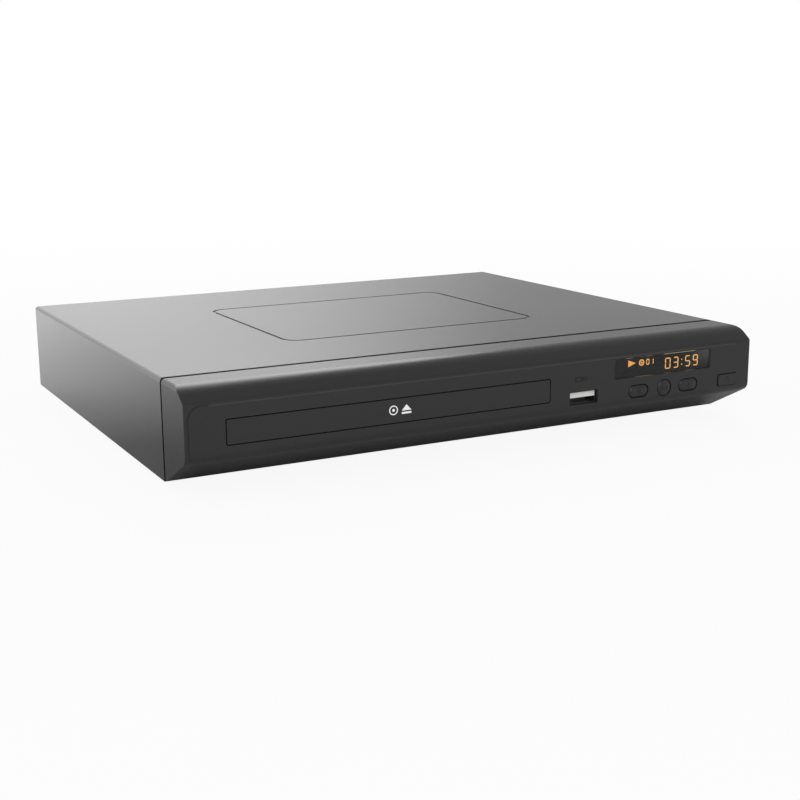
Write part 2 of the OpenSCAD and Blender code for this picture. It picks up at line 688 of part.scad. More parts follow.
// Moulded frame that carries the tray, the gears and the traverse.
module loader_frame() color([0.2, 0.2, 0.21]) difference() {
    union() {
        for (s = [-1, 1]) {
            side_block(s, frame_in, frame_out, frame_front, seam_y, deck_z1 + 1, frame_z1);
            side_block(s, frame_in, frame_out, seam_y, frame_back, frame_z0, frame_z1);
            difference() {
                side_block(s, frame_in - ledge_w, frame_in + eps, frame_front, frame_back,
                    ledge_z1 - 1.5, ledge_z1);
                post(gear_x, gear_y, ledge_z1 - 3, ledge_z1 + 1,
                    drive_m * (drive_teeth / 2 + 0.8) + door_gap);
            }
            for (y = tab_y) side_block(s, frame_in - 2, frame_in + eps, y, y + 10,
                tray_z1 + tray_gap, frame_z1);
            side_block(s, gate_w, frame_in + eps, deck_back, frame_back, frame_z0, frame_z0 + flange_t);
            side_block(s, bearing_x, bearing_x + bearing_t, hinge_y - 4, hinge_y + 4,
                frame_z0, hinge_z + 4);
            side_block(s, frame_out - eps, frame_out + 7, seat_y, seat_y + 24,
                frame_z1 - 2, frame_z1);
            for (y = [seat_y, seat_y + 22]) side_block(s, frame_out - eps, frame_out + 5, y, y + 2,
                frame_z1 - 10, frame_z1 - 2 + eps);
        }
        block(fx0 + 1, fx1 - 1, frame_front + 2, deck_back, deck_z0, deck_z1);
        block(fx0 + 1, fx1 - 1, frame_back - 6, frame_back, frame_z0, frame_z0 + flange_t);
        block(fx0 + 1, fx1 - 1, frame_back - 2, frame_back, frame_z0, frame_z1 - 4);
        for (l = loader_lug) {
            post(door_x + l[0] * lug_x, l[1], frame_z0, frame_z0 + 4, 4.2);
            side_block(l[0], frame_out - eps, lug_x, l[1] - 3, l[1] + 3, frame_z0, frame_z0 + 4);
        }
        post(gear_x, gear_y, deck_z1 - eps, tray_z0 + 2.4, post_r);
        post(gear_x, gear_y, deck_z1 - eps, deck_z1 + 0.3, 3);
        post(pulley_x, gear_y, deck_z1 - eps, ledge_z1 - 0.2, post_r);
        post(pulley_x, gear_y, deck_z1 - eps, deck_z1 + 0.3, 3);
        for (x = [cam_x + 31, cam_x + 44]) guide_hook(x);
    }
    for (l = loader_lug) post(door_x + l[0] * lug_x, l[1], frame_z0 - 1, frame_z0 + 5, 1.6);
    for (s = [-1, 1]) {
        rod_x(hinge_y, hinge_z, door_x + s * (bearing_x + bearing_t / 2) - 2,
            door_x + s * (bearing_x + bearing_t / 2) + 2, trunnion_r + run_fit);
        for (y = [seat_y + 6, seat_y + 18])
            post(door_x + s * (frame_out + 4), y, frame_z1 - 3, frame_z1 + 1, 1.1);
    }
    block(fx0 + frame_wall, cam_x + 28.5, cam_y - 3.4, deck_back + 1, deck_z0 - 1, deck_z1 + 1);
    post(motor_x, motor_y, deck_z0 - 1, deck_z1 + 1, 3.2);
}

// A block mirrored to either side of the tray's middle.
module side_block(s, a, b, y0, y1, z0, z1) {
    block(s > 0 ? door_x + a : door_x - b, s > 0 ? door_x + b : door_x - a, y0, y1, z0, z1);
}

// Hook that keeps the cam slider down on the deck.
module guide_hook(x) {
    block(x, x + 3, cam_y + 0.3, cam_y + 1.8, deck_z1 - eps, bar_z1 + 1.5);
    block(x, x + 3, cam_y - 1.2, cam_y + 1.8, bar_z1 + 0.3, bar_z1 + 1.5);
}

bar_z1 = deck_z1 + 3;

// Moulded tray: a pocket for the disc, runners, and a rack under its right side.
module disc_tray() color([0.13, 0.13, 0.135]) difference() {
    union() {
        block(door_x - tray_w / 2, door_x + tray_w / 2, tray_front, tray_back,
            tray_z1 - skin, tray_z1);
        for (s = [-1, 1]) side_block(s, tray_w / 2 - runner_t, tray_w / 2, tray_front, tray_back,
            tray_z0, tray_z1 - skin + eps);
        block(door_x - tray_w / 2 + 1, door_x + tray_w / 2 - 1, tray_front, tray_front + skin + 0.2,
            tray_z0, tray_z1 - skin + eps);
        block(door_x - tray_w / 2 + 1, door_x + tray_w / 2 - 1, tray_back - skin, tray_back,
            pocket_z - floor_t, tray_z1 - skin + eps);
        post(door_x, disc_y, pocket_z - floor_t, tray_z1 - skin + eps, pocket_r + skin);
        for (s = [-1, 1]) side_block(s, tray_slot_w / 2, tray_slot_w / 2 + skin, disc_y + pocket_r - 2,
            tray_back, pocket_z - floor_t, tray_z1 - skin + eps);
        for (y = [disc_y + pocket_r + 10, disc_y + pocket_r + 22])
            block(door_x - tray_w / 2 + 1, door_x + tray_w / 2 - 1, y, y + 1.2,
                pocket_z, tray_z1 - skin + eps);
        for (s = [-1, 1]) side_block(s, pocket_r + 0.5, tray_w / 2 - runner_t + eps,
            disc_y - 2, disc_y + 2, pocket_z - floor_t, tray_z1 - skin + eps);
        tray_rack();
    }
    post(door_x, disc_y, pocket_z, tray_z1 + 1, pocket_r);
    post(door_x, disc_y, pocket_z - 0.5, pocket_z + eps, 40.5);
    post(door_x, disc_y, tray_z0 - 1, tray_z1 + 1, tray_slot_w / 2);
    block(door_x - tray_slot_w / 2, door_x + tray_slot_w / 2, disc_y, tray_back + 1,
        tray_z0 - 1, tray_z1 + 1);
    for (s = [-1, 1]) translate([door_x + s * 30, disc_y - 30, pocket_z - 3])
        cylinder(h = 3 + eps, r = 3);
}

// Rack teeth point left, towards the loading gear; a gap faces the gear at rest.
module tray_rack() {
    pitch = PI * rack_m;
    first = -3;
    count = floor((tray_back - 1 - gear_y) / pitch - 0.5);
    foot = PI * rack_m / 2 - backlash / 2 + 2 * 1.1 * rack_m * tan(pressure);
    crown = PI * rack_m / 2 - backlash / 2 - 2 * 0.8 * rack_m * tan(pressure);
    x_root = rack_x + 1.1 * rack_m;
    x_tip = rack_x - 0.8 * rack_m;
    block(x_root, door_x + tray_w / 2 - runner_t + eps, gear_y + (first - 0.5) * pitch,
        gear_y + (count + 0.9) * pitch, tray_z0, pocket_z - floor_t + eps);
    for (i = [first:count]) {
        yc = gear_y + (i + 0.5) * pitch;
        translate([0, 0, tray_z0]) linear_extrude(pocket_z - floor_t - tray_z0)
            polygon([[x_root + eps, yc - foot / 2], [x_root + eps, yc + foot / 2],
                [x_tip, yc + crown / 2], [x_tip, yc - crown / 2]]);
    }
}

// Flat front of the tray, which closes the slot in the bezel.
module tray_door() color([0.16, 0.16, 0.165])
    face_plate(door_x, door_z, front_y, tray_front, door_w, door_h, 0.5);

// Steel bridge over the tray, with its edges turned up.
module clamp_bridge() color([0.6, 0.61, 0.63]) difference() {
    union() {
        for (s = [-1, 1]) {
            side_block(s, frame_out - 1, frame_out + 7, seat_y, seat_y + 24, frame_z1,
                frame_z1 + bridge_t);
            side_block(s, frame_out - 1, frame_out - 1 + bridge_t, seat_y, seat_y + 24,
                frame_z1, bridge_z0 + bridge_t);
        }
        block(fx0 + 1, fx1 - 1, seat_y, seat_y + 24, bridge_z0, bridge_z0 + bridge_t);
        for (y = [seat_y, seat_y + 24 - bridge_t])
            block(fx0 + 14, fx1 - 14, y, y + bridge_t, bridge_z0, bridge_z0 + 3.4);
        post(door_x, disc_y, bridge_z0, bridge_z0 + bridge_t, hub_r + 7);
    }
    post(door_x, disc_y, bridge_z0 - 1, bridge_z0 + 6, hub_r + 1.2);
    post(door_x, disc_y, bridge_z0 + bridge_t, bridge_z0 + 6, hub_r + 7);
    for (s = [-1, 1], y = [seat_y + 6, seat_y + 18])
        post(door_x + s * (frame_out + 4), y, frame_z1 - 1, frame_z1 + 3, 1.3);
}

clamp_z1 = bridge_z0 + bridge_t + 1.8;

// Disc clamper: it hangs in the bridge and is lifted by the turntable.
module clamper() color([0.85, 0.85, 0.83]) difference() {
    union() {
        post(door_x, disc_y, clamp_z0, clamp_z1, hub_r);
        post(door_x, disc_y, bridge_z0 + bridge_t + 0.3, clamp_z1, hub_r + 5);
    }
    post(door_x, disc_y, clamp_z0 - 1, cone_z + 0.6, cone_r + 1.1);
    post(door_x, disc_y, clamp_z0 - 1, clamp_z0 + 0.6, hub_r - 2.5);
    post(door_x, disc_y, clamp_z0 + 4.4, clamp_z1 + 1, hub_r - 2.6);
}

// Steel plate in the clamper, held by the turntable's magnet.
module clamper_plate() color([0.7, 0.7, 0.72]) difference() {
    post(door_x, disc_y, clamp_z0 + 4.4, clamp_z0 + 5.6, hub_r - 2.8);
    post(door_x, disc_y, clamp_z0 + 4, clamp_z0 + 6, 4);
}

// Loading motor under the deck; its shaft comes up through it.
module loading_motor() color([0.72, 0.72, 0.74]) {
    post(motor_x, motor_y, deck_z0 - 8.4, deck_z0, 10);
    post(motor_x, motor_y, deck_z0 - 9, deck_z0 - 8.4 + eps, 3);
    post(motor_x, motor_y, deck_z0 - eps, deck_z0 + 1.2, 3);
    post(motor_x, motor_y, deck_z0, belt_z + 2.2, 1);
}

// Grooved pulley on the motor shaft.
module motor_pulley() color([0.85, 0.8, 0.6]) difference() {
    union() {
        grooved(motor_x, motor_y, motor_pulley_r, 1.3);
        post(motor_x, motor_y, belt_z + 0.9, belt_z + 2, 2);
    }
    post(motor_x, motor_y, deck_z1, belt_z + 3, 1 + run_fit);
}

// Pulley rim with a square belt groove.
module grooved(x, y, r, rim) {
    post(x, y, belt_z - 1.1, belt_z + 1.1, r - 0.05);
    post(x, y, belt_z - 1.1, belt_z - 0.7, r + rim);
    post(x, y, belt_z + 0.7, belt_z + 1.1, r + rim);
}

// Rubber belt round both pulleys.
module drive_belt() color([0.06, 0.06, 0.06]) translate([0, 0, belt_z - belt_t / 2])
    linear_extrude(belt_t) difference() {
        belt_outline(pulley_r + belt_t, motor_pulley_r + belt_t);
        belt_outline(pulley_r, motor_pulley_r);
    }

// The run of a belt round two wheels of radius ra and rb.
function belt_points(ra, rb, dist) = let (lean = acos((ra - rb) / dist))
    concat(arc(0, 0, ra, lean, 360 - lean, 48), arc(dist, 0, rb, -lean, lean, 20));

module belt_outline(ra, rb) {
    dx = motor_x - pulley_x;
    dy = motor_y - gear_y;
    translate([pulley_x, gear_y]) rotate(atan2(dy, dx))
        polygon(belt_points(ra, rb, sqrt(dx * dx + dy * dy)));
}

// Belt pulley with its pinion.
module pulley_gear() color([0.93, 0.93, 0.9]) difference() {
    union() {
        grooved(pulley_x, gear_y, pulley_r, 1.2);
        translate([pulley_x, gear_y, 0])
            gear_band(pinion_teeth, drive_m, belt_z + 1.1 - eps, belt_z + 3.3, 180 / pinion_teeth);
    }
    post(pulley_x, gear_y, deck_z1, tray_z0 + 3, post_r + run_fit);
}

// Two-band gear: the lower band is driven, the upper band moves the tray's rack.
module loading_gear() color([0.93, 0.93, 0.9]) difference() {
    union() {
        post(gear_x, gear_y, deck_z1 + 0.35, belt_z + 1.4, 3.4);
        translate([gear_x, gear_y, 0]) {
            gear_band(drive_teeth, drive_m, belt_z + 1.35, belt_z + 3.3, 0);
            gear_band(rack_teeth, rack_m, tray_z0 + 0.2, pocket_z - floor_t - 0.35, 0);
        }
        post(gear_x, gear_y, belt_z + 3.3 - eps, tray_z0 + 0.2 + eps, rack_r - 2.4);
    }
    post(gear_x, gear_y, deck_z1, tray_z0 + 4, post_r + run_fit);
}

slot_half = cam_pin_r + 0.3;
dwell = 2;

// Cam slider: its sloping slot lifts and lowers the traverse's pin.
module cam_slider() color([0.9, 0.9, 0.87]) difference() {
    union() {
        block(cam_x - 5.2, cam_x + 27.5, cam_y - 2.4, cam_y, cam_z - cam_drop - 3.3, deck_z1 + 3.2);
        block(cam_x - 5.2, cam_x + 27.5, cam_y - 6, cam_y - 2.4 + eps, deck_z1 + 0.3, deck_z1 + 1.6);
        block(cam_x + 27.5 - eps, gear_x + 4, cam_y - 2.4, cam_y, deck_z1 + 0.3, bar_z1);
        block(gear_x - 14, gear_x + 4, cam_y - 2.4, cam_y, bar_z1 - eps, tray_z0 - 0.7);
        for (i = [0:5]) translate([gear_x - 12 + i * PI * drive_m, cam_y - 2.4, belt_z + 1.35])
            linear_extrude(1.9) polygon([[-0.7, 0.1], [0.7, 0.1], [0.4, -0.9], [-0.4, -0.9]]);
    }
    cam_slot();
}

module cam_slot() {
    rise = atan2(cam_drop, cam_travel);
    run = sqrt(cam_drop * cam_drop + cam_travel * cam_travel);
    for (e = [[0, 0], [cam_travel, -cam_drop], [-dwell, 0], [cam_travel + dwell, -cam_drop]])
        rod_y(cam_x + e[0], cam_z + e[1], cam_y - 4, cam_y + 1, slot_half);
    block(cam_x - dwell, cam_x, cam_y - 4, cam_y + 1, cam_z - slot_half, cam_z + slot_half);
    block(cam_x + cam_travel, cam_x + cam_travel + dwell, cam_y - 4, cam_y + 1,
        cam_z - cam_drop - slot_half, cam_z - cam_drop + slot_half);
    translate([cam_x, cam_y - 4, cam_z]) rotate([0, rise, 0])
        translate([0, 0, -slot_half]) cube([run, 5, 2 * slot_half]);
}

// ================= traverse =================

tx0 = door_x - trav_w / 2;
tx1 = door_x + trav_w / 2;
trav_back = hinge_y + 3;
damper_x = trav_w / 2 - 11;
damper_y = [disc_y - 11, disc_y + 75];
cut_x0 = door_x - 28.5;
cut_x1 = screw_x + 5;
cut_y0 = disc_y + 14.5;
cut_y1 = disc_y + 78.5;

// Lifting frame: hinged on two pins at its back end, and carried by the cam at its front.
module traverse_frame() color([0.22, 0.22, 0.23]) {
    difference() {
        union() {
            block(tx0, tx1, trav_front, trav_back, trav_z0, trav_z1 - 1);
            block(tx0 - eps, tx0 + trav_wall, trav_front, trav_back, trav_z1 - 1 - eps, trav_z1);
            block(tx1 - trav_wall, tx1, trav_front, trav_back, trav_z1 - 1 - eps, trav_z1);
        }
        block(tx0 + trav_wall, tx1 - trav_wall, trav_front + trav_wall, trav_back - trav_wall,
            trav_z0 - 1, trav_z1 + 1);
    }
    for (s = [-1, 1]) {
        rod_x(hinge_y, hinge_z, s > 0 ? tx1 - eps : tx0 - bearing_t - 2.3,
            s > 0 ? tx1 + bearing_t + 2.3 : tx0 + eps, trunnion_r);
        for (y = damper_y) difference() {
            side_block(s, damper_x - 6, trav_w / 2 - trav_wall + eps, y - 6, y + 6,
                trav_z0, plate_z0 - 1.5);
            post(door_x + s * damper_x, y, trav_z0 - 1, plate_z0, 1.3);
        }
    }
    rod_y(cam_x, cam_z, cam_y - 2.8, trav_front + eps, cam_pin_r);
}

// Rubber grommets that the base plate floats on.
module damper_grommets() color([0.12, 0.12, 0.12]) for (s = [-1, 1], y = damper_y)
    translate([door_x + s * damper_x, y, 0]) rotate_extrude() polygon([
        [1.2, plate_z0 - 1.5], [4, plate_z0 - 1.5], [4, plate_z0], [2.6, plate_z0],
        [2.6, plate_z1], [3.8, plate_z1], [3.8, plate_z1 + 1.2], [1.2, plate_z1 + 1.2]]);

// Steel base plate with the rod holders, the screw's bearing and the motor's bracket.
module drive_base() color([0.68, 0.69, 0.71]) difference() {
    union() {
        difference() {
            block(door_x - damper_x - 5, door_x + damper_x + 5, disc_y - 17, disc_y + 81,
                plate_z0, plate_z1);
            block(cut_x0, cut_x1, cut_y0, cut_y1, plate_z0 - 1, plate_z1 + 1);
            block(screw_x - 5, cut_x1, disc_y + 6, cut_y0 + 1, plate_z0 - 1, plate_z1 + 1);
            for (s = [-1, 1], y = damper_y) post(door_x + s * damper_x, y, plate_z0 - 1,
                plate_z1 + 1, 2.7);
        }
        for (s = [-1, 1], y = [cut_y0 - 2.5, cut_y1]) side_block(s, rod_off - 2.4, rod_off + 2.4,
            y, y + 2.5, plate_z1 - eps, rod_z + rod_d / 2 + 0.6);
        block(screw_x - 3, screw_x + 3, cut_y1, cut_y1 + 2.5, screw_z - 2.6, screw_z + 2.6);
        block(screw_x - 4.4, screw_x + 4.4, disc_y + 4.8, disc_y + 6, plate_z0 - 2, trav_z1 + 0.2);
    }
    for (s = [-1, 1]) rod_y(door_x + s * rod_off, rod_z, cut_y0 - 4, cut_y1 + 4, rod_d / 2 + 0.02);
    rod_y(screw_x, screw_z, cut_y1 - 1, cut_y1 + 4, screw_d / 2 + run_fit);
    post(door_x, disc_y, plate_z0 - 1, plate_z1 + 1, 5.4);
}

// Polished rods that the pickup slides on.
module guide_rods() color([0.85, 0.86, 0.88]) for (s = [-1, 1])
    rod_y(door_x + s * rod_off, rod_z, cut_y0 - 2.5, cut_y1 + 2.5, rod_d / 2);

shaft_r = 1.2;

// Fixed half of the spindle motor: mounting ring, bearing tube and windings.
module spindle_motor() color([0.72, 0.62, 0.4]) difference() {
    union() {
        post(door_x, disc_y, plate_z1, plate_z1 + 0.8, 14);
        post(door_x, disc_y, plate_z0 - 2.4, plate_z1 + 5.2, 2.8);
        post(door_x, disc_y, plate_z0 - 3, plate_z0 - 2, 3.4);
        for (k = [0:8]) translate([door_x, disc_y, plate_z1 + 1.5]) rotate([0, 0, 40 * k]) {
            translate([2.4, -0.7, 0]) cube([5.6, 1.4, 3]);
            translate([7.6, -2.5, 0]) cube([2, 5, 3]);
        }
        post(door_x, disc_y, plate_z1, plate_z1 + 1.2, 4);
    }
    post(door_x, disc_y, plate_z0 - 2.4, plate_z1 + 9, shaft_r + run_fit);
}

cup_z0 = plate_z1 + 1.4;
cup_z1 = plate_z1 + 6.6;

// Turning half: rotor cup, shaft, disc seat and centring cone.
module turntable() color([0.16, 0.16, 0.17]) {
    difference() {
        union() {
            post(door_x, disc_y, cup_z0, cup_z1, 13);
            post(door_x, disc_y, cup_z1 - eps, seat_z - 1.6, 9);
            post(door_x, disc_y, seat_z - 1.6 - eps, seat_z, 14.5);
        }
        post(door_x, disc_y, cup_z0 - 1, cup_z1 - 1, 12);
        difference() {
            post(door_x, disc_y, seat_z - 0.4, seat_z + 1, 11.4);
            post(door_x, disc_y, seat_z - 0.5, seat_z + 2, cone_r);
        }
    }
    post(door_x, disc_y, plate_z0 - 2.2, cup_z1 - 0.9, shaft_r);
    translate([door_x, disc_y, 0]) rotate_extrude() polygon([[0, seat_z - eps],
        [cone_r, seat_z - eps], [cone_r, seat_z + 0.9], [cone_r - 1.6, cone_z], [3, cone_z],
        [2.4, cone_z - 0.8], [0, cone_z - 0.8]]);
}

sled_w = 21.5;

// Pickup carriage: two bushes on the left rod, a fork on the right one, and the nut's arm.
module pickup_sled() color([0.7, 0.71, 0.73]) {
    difference() {
        union() {
            side_span(-sled_w, sled_w, lens_y - 7, lens_y + 18, trav_z0 + 1.5, sled_top - 2);
            side_span(-sled_w + 3, sled_w - 3, lens_y - 7, lens_y + 15, sled_top - 2 - eps, sled_top);
            for (y = [lens_y - 6, lens_y + 13]) {
                rod_y(door_x - rod_off, rod_z, y, y + 5, rod_d / 2 + 1.2);
                side_span(-rod_off, -sled_w + eps, y, y + 5, rod_z - 2.2, rod_z + 1.6);
            }
            side_span(sled_w - 4, 32 + 1.5, lens_y + 5, lens_y + 13, rod_z + rod_d / 2 + 0.2, sled_top);
            side_span(sled_w - eps, rod_off + 2, lens_y + 7, lens_y + 11, rod_z - rod_d / 2 - 1.2,
                rod_z - rod_d / 2 - 0.2);
            side_span(32 - 1.5, 32 + 1.5, lens_y + 5, lens_y + 13, screw_z + screw_d / 2 + 0.2,
                sled_top);
        }
        rod_y(door_x - rod_off, rod_z, lens_y - 8, lens_y + 20, rod_d / 2 + run_fit);
        post(door_x, disc_y, trav_z0, sled_top + 1, 17);
        side_span(-8, 8, lens_y + 8, lens_y + 14, sled_top - 1, sled_top + 1);
        side_span(-sled_w + 2, sled_w - 2, lens_y - 3, lens_y + 15, trav_z0 + 1, sled_top - 3.5);
    }
    for (y = [lens_y - 6.9, lens_y + 6.2]) side_span(-6, 6, y, y + 0.9, sled_top - eps, sled_top + 3.4);
}

// A block placed by its distances from the tray's middle.
module side_span(a, b, y0, y1, z0, z1) {
    block(door_x + a, door_x + b, y0, y1, z0, z1);
}

holder_z = sled_top + 0.8;

// Lens in its springy holder, which the coils move up and down.
module lens_holder() color([0.25, 0.2, 0.35]) difference() {
    union() {
        round_plate(door_x, lens_y, holder_z, holder_z + 2.8, 11, 10.6, 1.5);
        post(door_x, lens_y, holder_z + 2.7, holder_z + 3.4, 3.4);
        translate([door_x, lens_y, holder_z + 1.6]) intersection() {
            sphere(r = 2.6);
            translate([-3, -3, 0]) cube([6, 6, 3]);
        }
    }
    translate([door_x, lens_y, holder_z + 3]) difference() {
        cylinder(h = 1, r = 2.9);
        translate([0, 0, -1]) cylinder(h = 3, r = 2.3);
    }
    side_cut(lens_y);
}

// Coil windows at both ends of the holder.
module side_cut(y) {
    for (s = [-1, 1]) block(door_x + s * 4 - 0.8, door_x + s * 4 + 0.8, y - 3, y + 3,
        holder_z + 1.4, holder_z + 4);
}

// Small motor that turns the lead screw.
module sled_motor() color([0.74, 0.74, 0.76]) difference() {
    intersection() {
        rod_y(screw_x, screw_z, disc_y + 6, disc_y + 18.5, 4.6);
        block(screw_x - 4.1, screw_x + 4.1, disc_y, disc_y + 30, screw_z - 3.9, screw_z + 3.6);
    }
    rod_y(screw_x, screw_z, disc_y + 16.5, disc_y + 19, screw_d / 2 + run_fit);
}

// Lead screw.
module lead_screw() color([0.8, 0.78, 0.7])
    rod_y(screw_x, screw_z, disc_y + 16.6, cut_y1 + 2, screw_d / 2);

// Screws that hold the loader on the base pan's stand-offs, and the bridge on the loader.
module loader_screws() color([0.3, 0.3, 0.32]) {
    for (l = loader_lug) screw_down(door_x + l[0] * lug_x, l[1], frame_z0 + 4, 8.4, tap_r - 0.05, 3);
    for (s = [-1, 1], y = [seat_y + 6, seat_y + 18])
        screw_down(door_x + s * (frame_out + 4), y, frame_z1 + bridge_t, 3, 1.05, 2.4);
}

// Pan-head screw with a cross recess; its head stands on z.
module screw_down(x, y, z, len, r, head) {
    post(x, y, z - len, z + eps, r);
    difference() {
        post(x, y, z, z + 1.7, head);
        block(x - head * 0.6, x + head * 0.6, y - 0.35, y + 0.35, z + 0.9, z + 2);
        block(x - 0.35, x + 0.35, y - head * 0.6, y + head * 0.6, z + 0.9, z + 2);
    }
}

// ================= electronics at the back =================

// A circuit board with its fixing holes.
module board(x0, x1, y0, y1) {
    difference() {
        block(x0, x1, y0, y1, main_z, main_z + board_t);
        for (p = board_posts) post(p[0], p[1], main_z - 1, main_z + board_t + 1, 1.6);
    }
}

// Decoder board.
module main_board() color([0.08, 0.3, 0.14]) board(main_x0, main_x1, main_y0, main_y1);

// Decoder chip, memory, crystal and connectors on the decoder board.
module main_chips() color([0.1, 0.1, 0.11]) {
    cx = main_x1 - 50;
    cy = main_y0 + 15;
    block(cx - 10, cx + 10, cy - 9, cy + 9, board_top, board_top + 1.6);
    block(cx - 32, cx - 14, cy - 5, cy + 5, board_top, board_top + 1.2);
    block(cx + 14, cx + 22, cy - 4, cy + 2, board_top, board_top + 1.8);
    block(cx + 14, cx + 25, cy + 5, cy + 9, board_top, board_top + 3.4);
    block(cx - 42, cx - 36, main_y0 + 6, main_y0 + 10, board_top, board_top + 5);
    for (k = [0:3]) post(main_x1 - 18, main_y0 + 12 + 5 * k, board_top, board_top + 7, 2);
}

jack_face = 0.6;

// Housing of the three phono jacks.
module rca_block() color([0.1, 0.1, 0.1]) difference() {
    union() {
        block(rca_x - 1.5 * rca_pitch + 0.3, rca_x + 1.5 * rca_pitch - 0.3, back_y - 13, pan_y1 - 0.3,
            board_top, jack_z + 6.2);
        face_plate(rca_x, jack_z, pan_y1 - 0.5, back_y + jack_face,
            3 * rca_pitch - 0.6, 12.4, 0.8);
    }
    for (k = [-1:1]) rod_y(rca_x + k * rca_pitch, jack_z, back_y - 6, back_y + 2, rca_d / 2 - 0.2);
}

// Plated sleeves of the phono jacks.
module rca_shells() color([0.8, 0.78, 0.72]) for (k = [-1:1]) difference() {
    union() {
        rod_y(rca_x + k * rca_pitch, jack_z, back_y - 6, back_y + rca_reach, rca_d / 2 - 0.2);
        rod_y(rca_x + k * rca_pitch, jack_z, back_y + jack_face, back_y + rca_reach, rca_d / 2);
    }
    rod_y(rca_x + k * rca_pitch, jack_z, back_y - 5, back_y + rca_reach + 1, rca_d / 2 - 0.6);
}

// Coloured insulator inside a phono jack.
module rca_insert(k) {
    x = rca_x + k * rca_pitch;
    difference() {
        rod_y(x, jack_z, back_y - 5, back_y + rca_reach - 0.8, rca_d / 2 - 0.6);
        rod_y(x, jack_z, back_y - 3, back_y + rca_reach, 1.65);
    }
}

module rca_insert_yellow() color([0.9, 0.75, 0.1]) rca_insert(1);
module rca_insert_white() color([0.92, 0.92, 0.9]) rca_insert(0);
module rca_insert_red() color([0.8, 0.1, 0.1]) rca_insert(-1);

// Digital video socket: a folded shell with cut corners and a contact tongue.
module hdmi_socket() color([0.76, 0.76, 0.78]) translate([hdmi_x, back_y + 0.6, board_top + 3.2])
    rotate([90, 0, 0]) {
        difference() {
            linear_extrude(12) hdmi_outline(hdmi_w, hdmi_h);
            translate([0, 0, -1]) linear_extrude(12) hdmi_outline(hdmi_w - 1, hdmi_h - 1);
        }
        translate([-5.6, -0.2, 1]) cube([11.2, 1, 11]);
        translate([-5, -3.2, 4]) cube([10, 0.6, 8]);
    }

module hdmi_outline(w, h) {
    polygon([[-w / 2, h / 2], [w / 2, h / 2], [w / 2, -h / 2 + 2], [w / 2 - 1.8, -h / 2],
        [-w / 2 + 1.8, -h / 2], [-w / 2, -h / 2 + 2]]);
}

// Power supply board.
module power_board() color([0.6, 0.45, 0.2]) board(psu_x0, psu_x1, psu_y0, psu_y1);

psu_mid = (psu_x0 + psu_x1) / 2;

// Switching transformer: ferrite core round a taped coil.
module transformer() color([0.15, 0.15, 0.16]) {
    difference() {
        block(psu_mid - 12, psu_mid + 12, psu_y0 + 46, psu_y0 + 66, board_top, board_top + 17);
        block(psu_mid - 8.5, psu_mid + 8.5, psu_y0 + 45, psu_y0 + 67, board_top + 3.5, board_top + 13.5);
    }
    rotate_coil();
}

module rotate_coil() {
    rod_y(psu_mid, board_top + 8.5, psu_y0 + 44, psu_y0 + 68, 5);
}

// Reservoir and smoothing capacitors.
module capacitors() color([0.12, 0.14, 0.3]) {
    post(psu_x0 + 16, psu_y1 - 44, board_top, board_top + 20, 8);
    for (k = [0:2]) post(psu_x0 + 14 + 13 * k, psu_y0 + 14, board_top, board_top + 13, 4);
    post(psu_x1 - 14, psu_y0 + 20, board_top, board_top + 16, 5);
    block(psu_x1 - 20, psu_x1 - 6, psu_y1 - 46, psu_y1 - 38, board_top, board_top + 12);
}

// Folded aluminium heat sink.
module heat_sink() color([0.75, 0.75, 0.77]) {
    block(psu_x0 + 8, psu_x0 + 44, psu_y0 + 30, psu_y0 + 32, board_top, board_top + 20);
    for (k = [0:4]) block(psu_x0 + 8 + 8.5 * k, psu_x0 + 10 + 8.5 * k, psu_y0 + 32 - eps, psu_y0 + 39,
        board_top, board_top + 20);
}

// Two-pole mains inlet.
module ac_inlet() color([0.08, 0.08, 0.08]) difference() {
    union() {
        face_plate(inlet_x, inlet_z, back_y - 15, back_y + 0.8, inlet_w, inlet_h, 2);
        block(inlet_x - 8, inlet_x + 8, back_y - 15, back_y - 3, board_top, inlet_z);
    }
    translate([inlet_x, back_y + 1, inlet_z]) rotate([90, 0, 0]) linear_extrude(11) {
        for (s = [-1, 1]) translate([s * inlet_pitch / 2, 0]) circle(r = 4);
        square([inlet_pitch, 7], center = true);
    }
    for (s = [-1, 1]) rod_y(inlet_x + s * inlet_pitch / 2, inlet_z, back_y - 15.5, back_y, 1.2);
}

// Pins of the mains inlet.
module inlet_pins() color([0.85, 0.8, 0.6]) for (s = [-1, 1])
    rod_y(inlet_x + s * inlet_pitch / 2, inlet_z, back_y - 15, back_y - 1.5, 1.2);

// Flat lead from the power supply to the decoder board.
module power_harness() color([0.75, 0.2, 0.15]) {
    hy = psu_y1 - 26;
    block(main_x1 - 10, main_x1 - 2, hy, hy + 11, board_top, board_top + 6);
    block(psu_x0 + 2, psu_x0 + 8, hy, hy + 11, board_top, board_top + 6);
    for (k = [0:4]) rod_x(hy + 1.5 + 2 * k, board_top + 4, main_x1 - 2 - eps, psu_x0 + 2 + eps, 0.7);
}

// Screws of both boards.
module board_screws() color([0.7, 0.7, 0.72]) for (p = board_posts)
    screw_down(p[0], p[1], main_z + board_t, 4, tap_r - 0.05, 2.8);

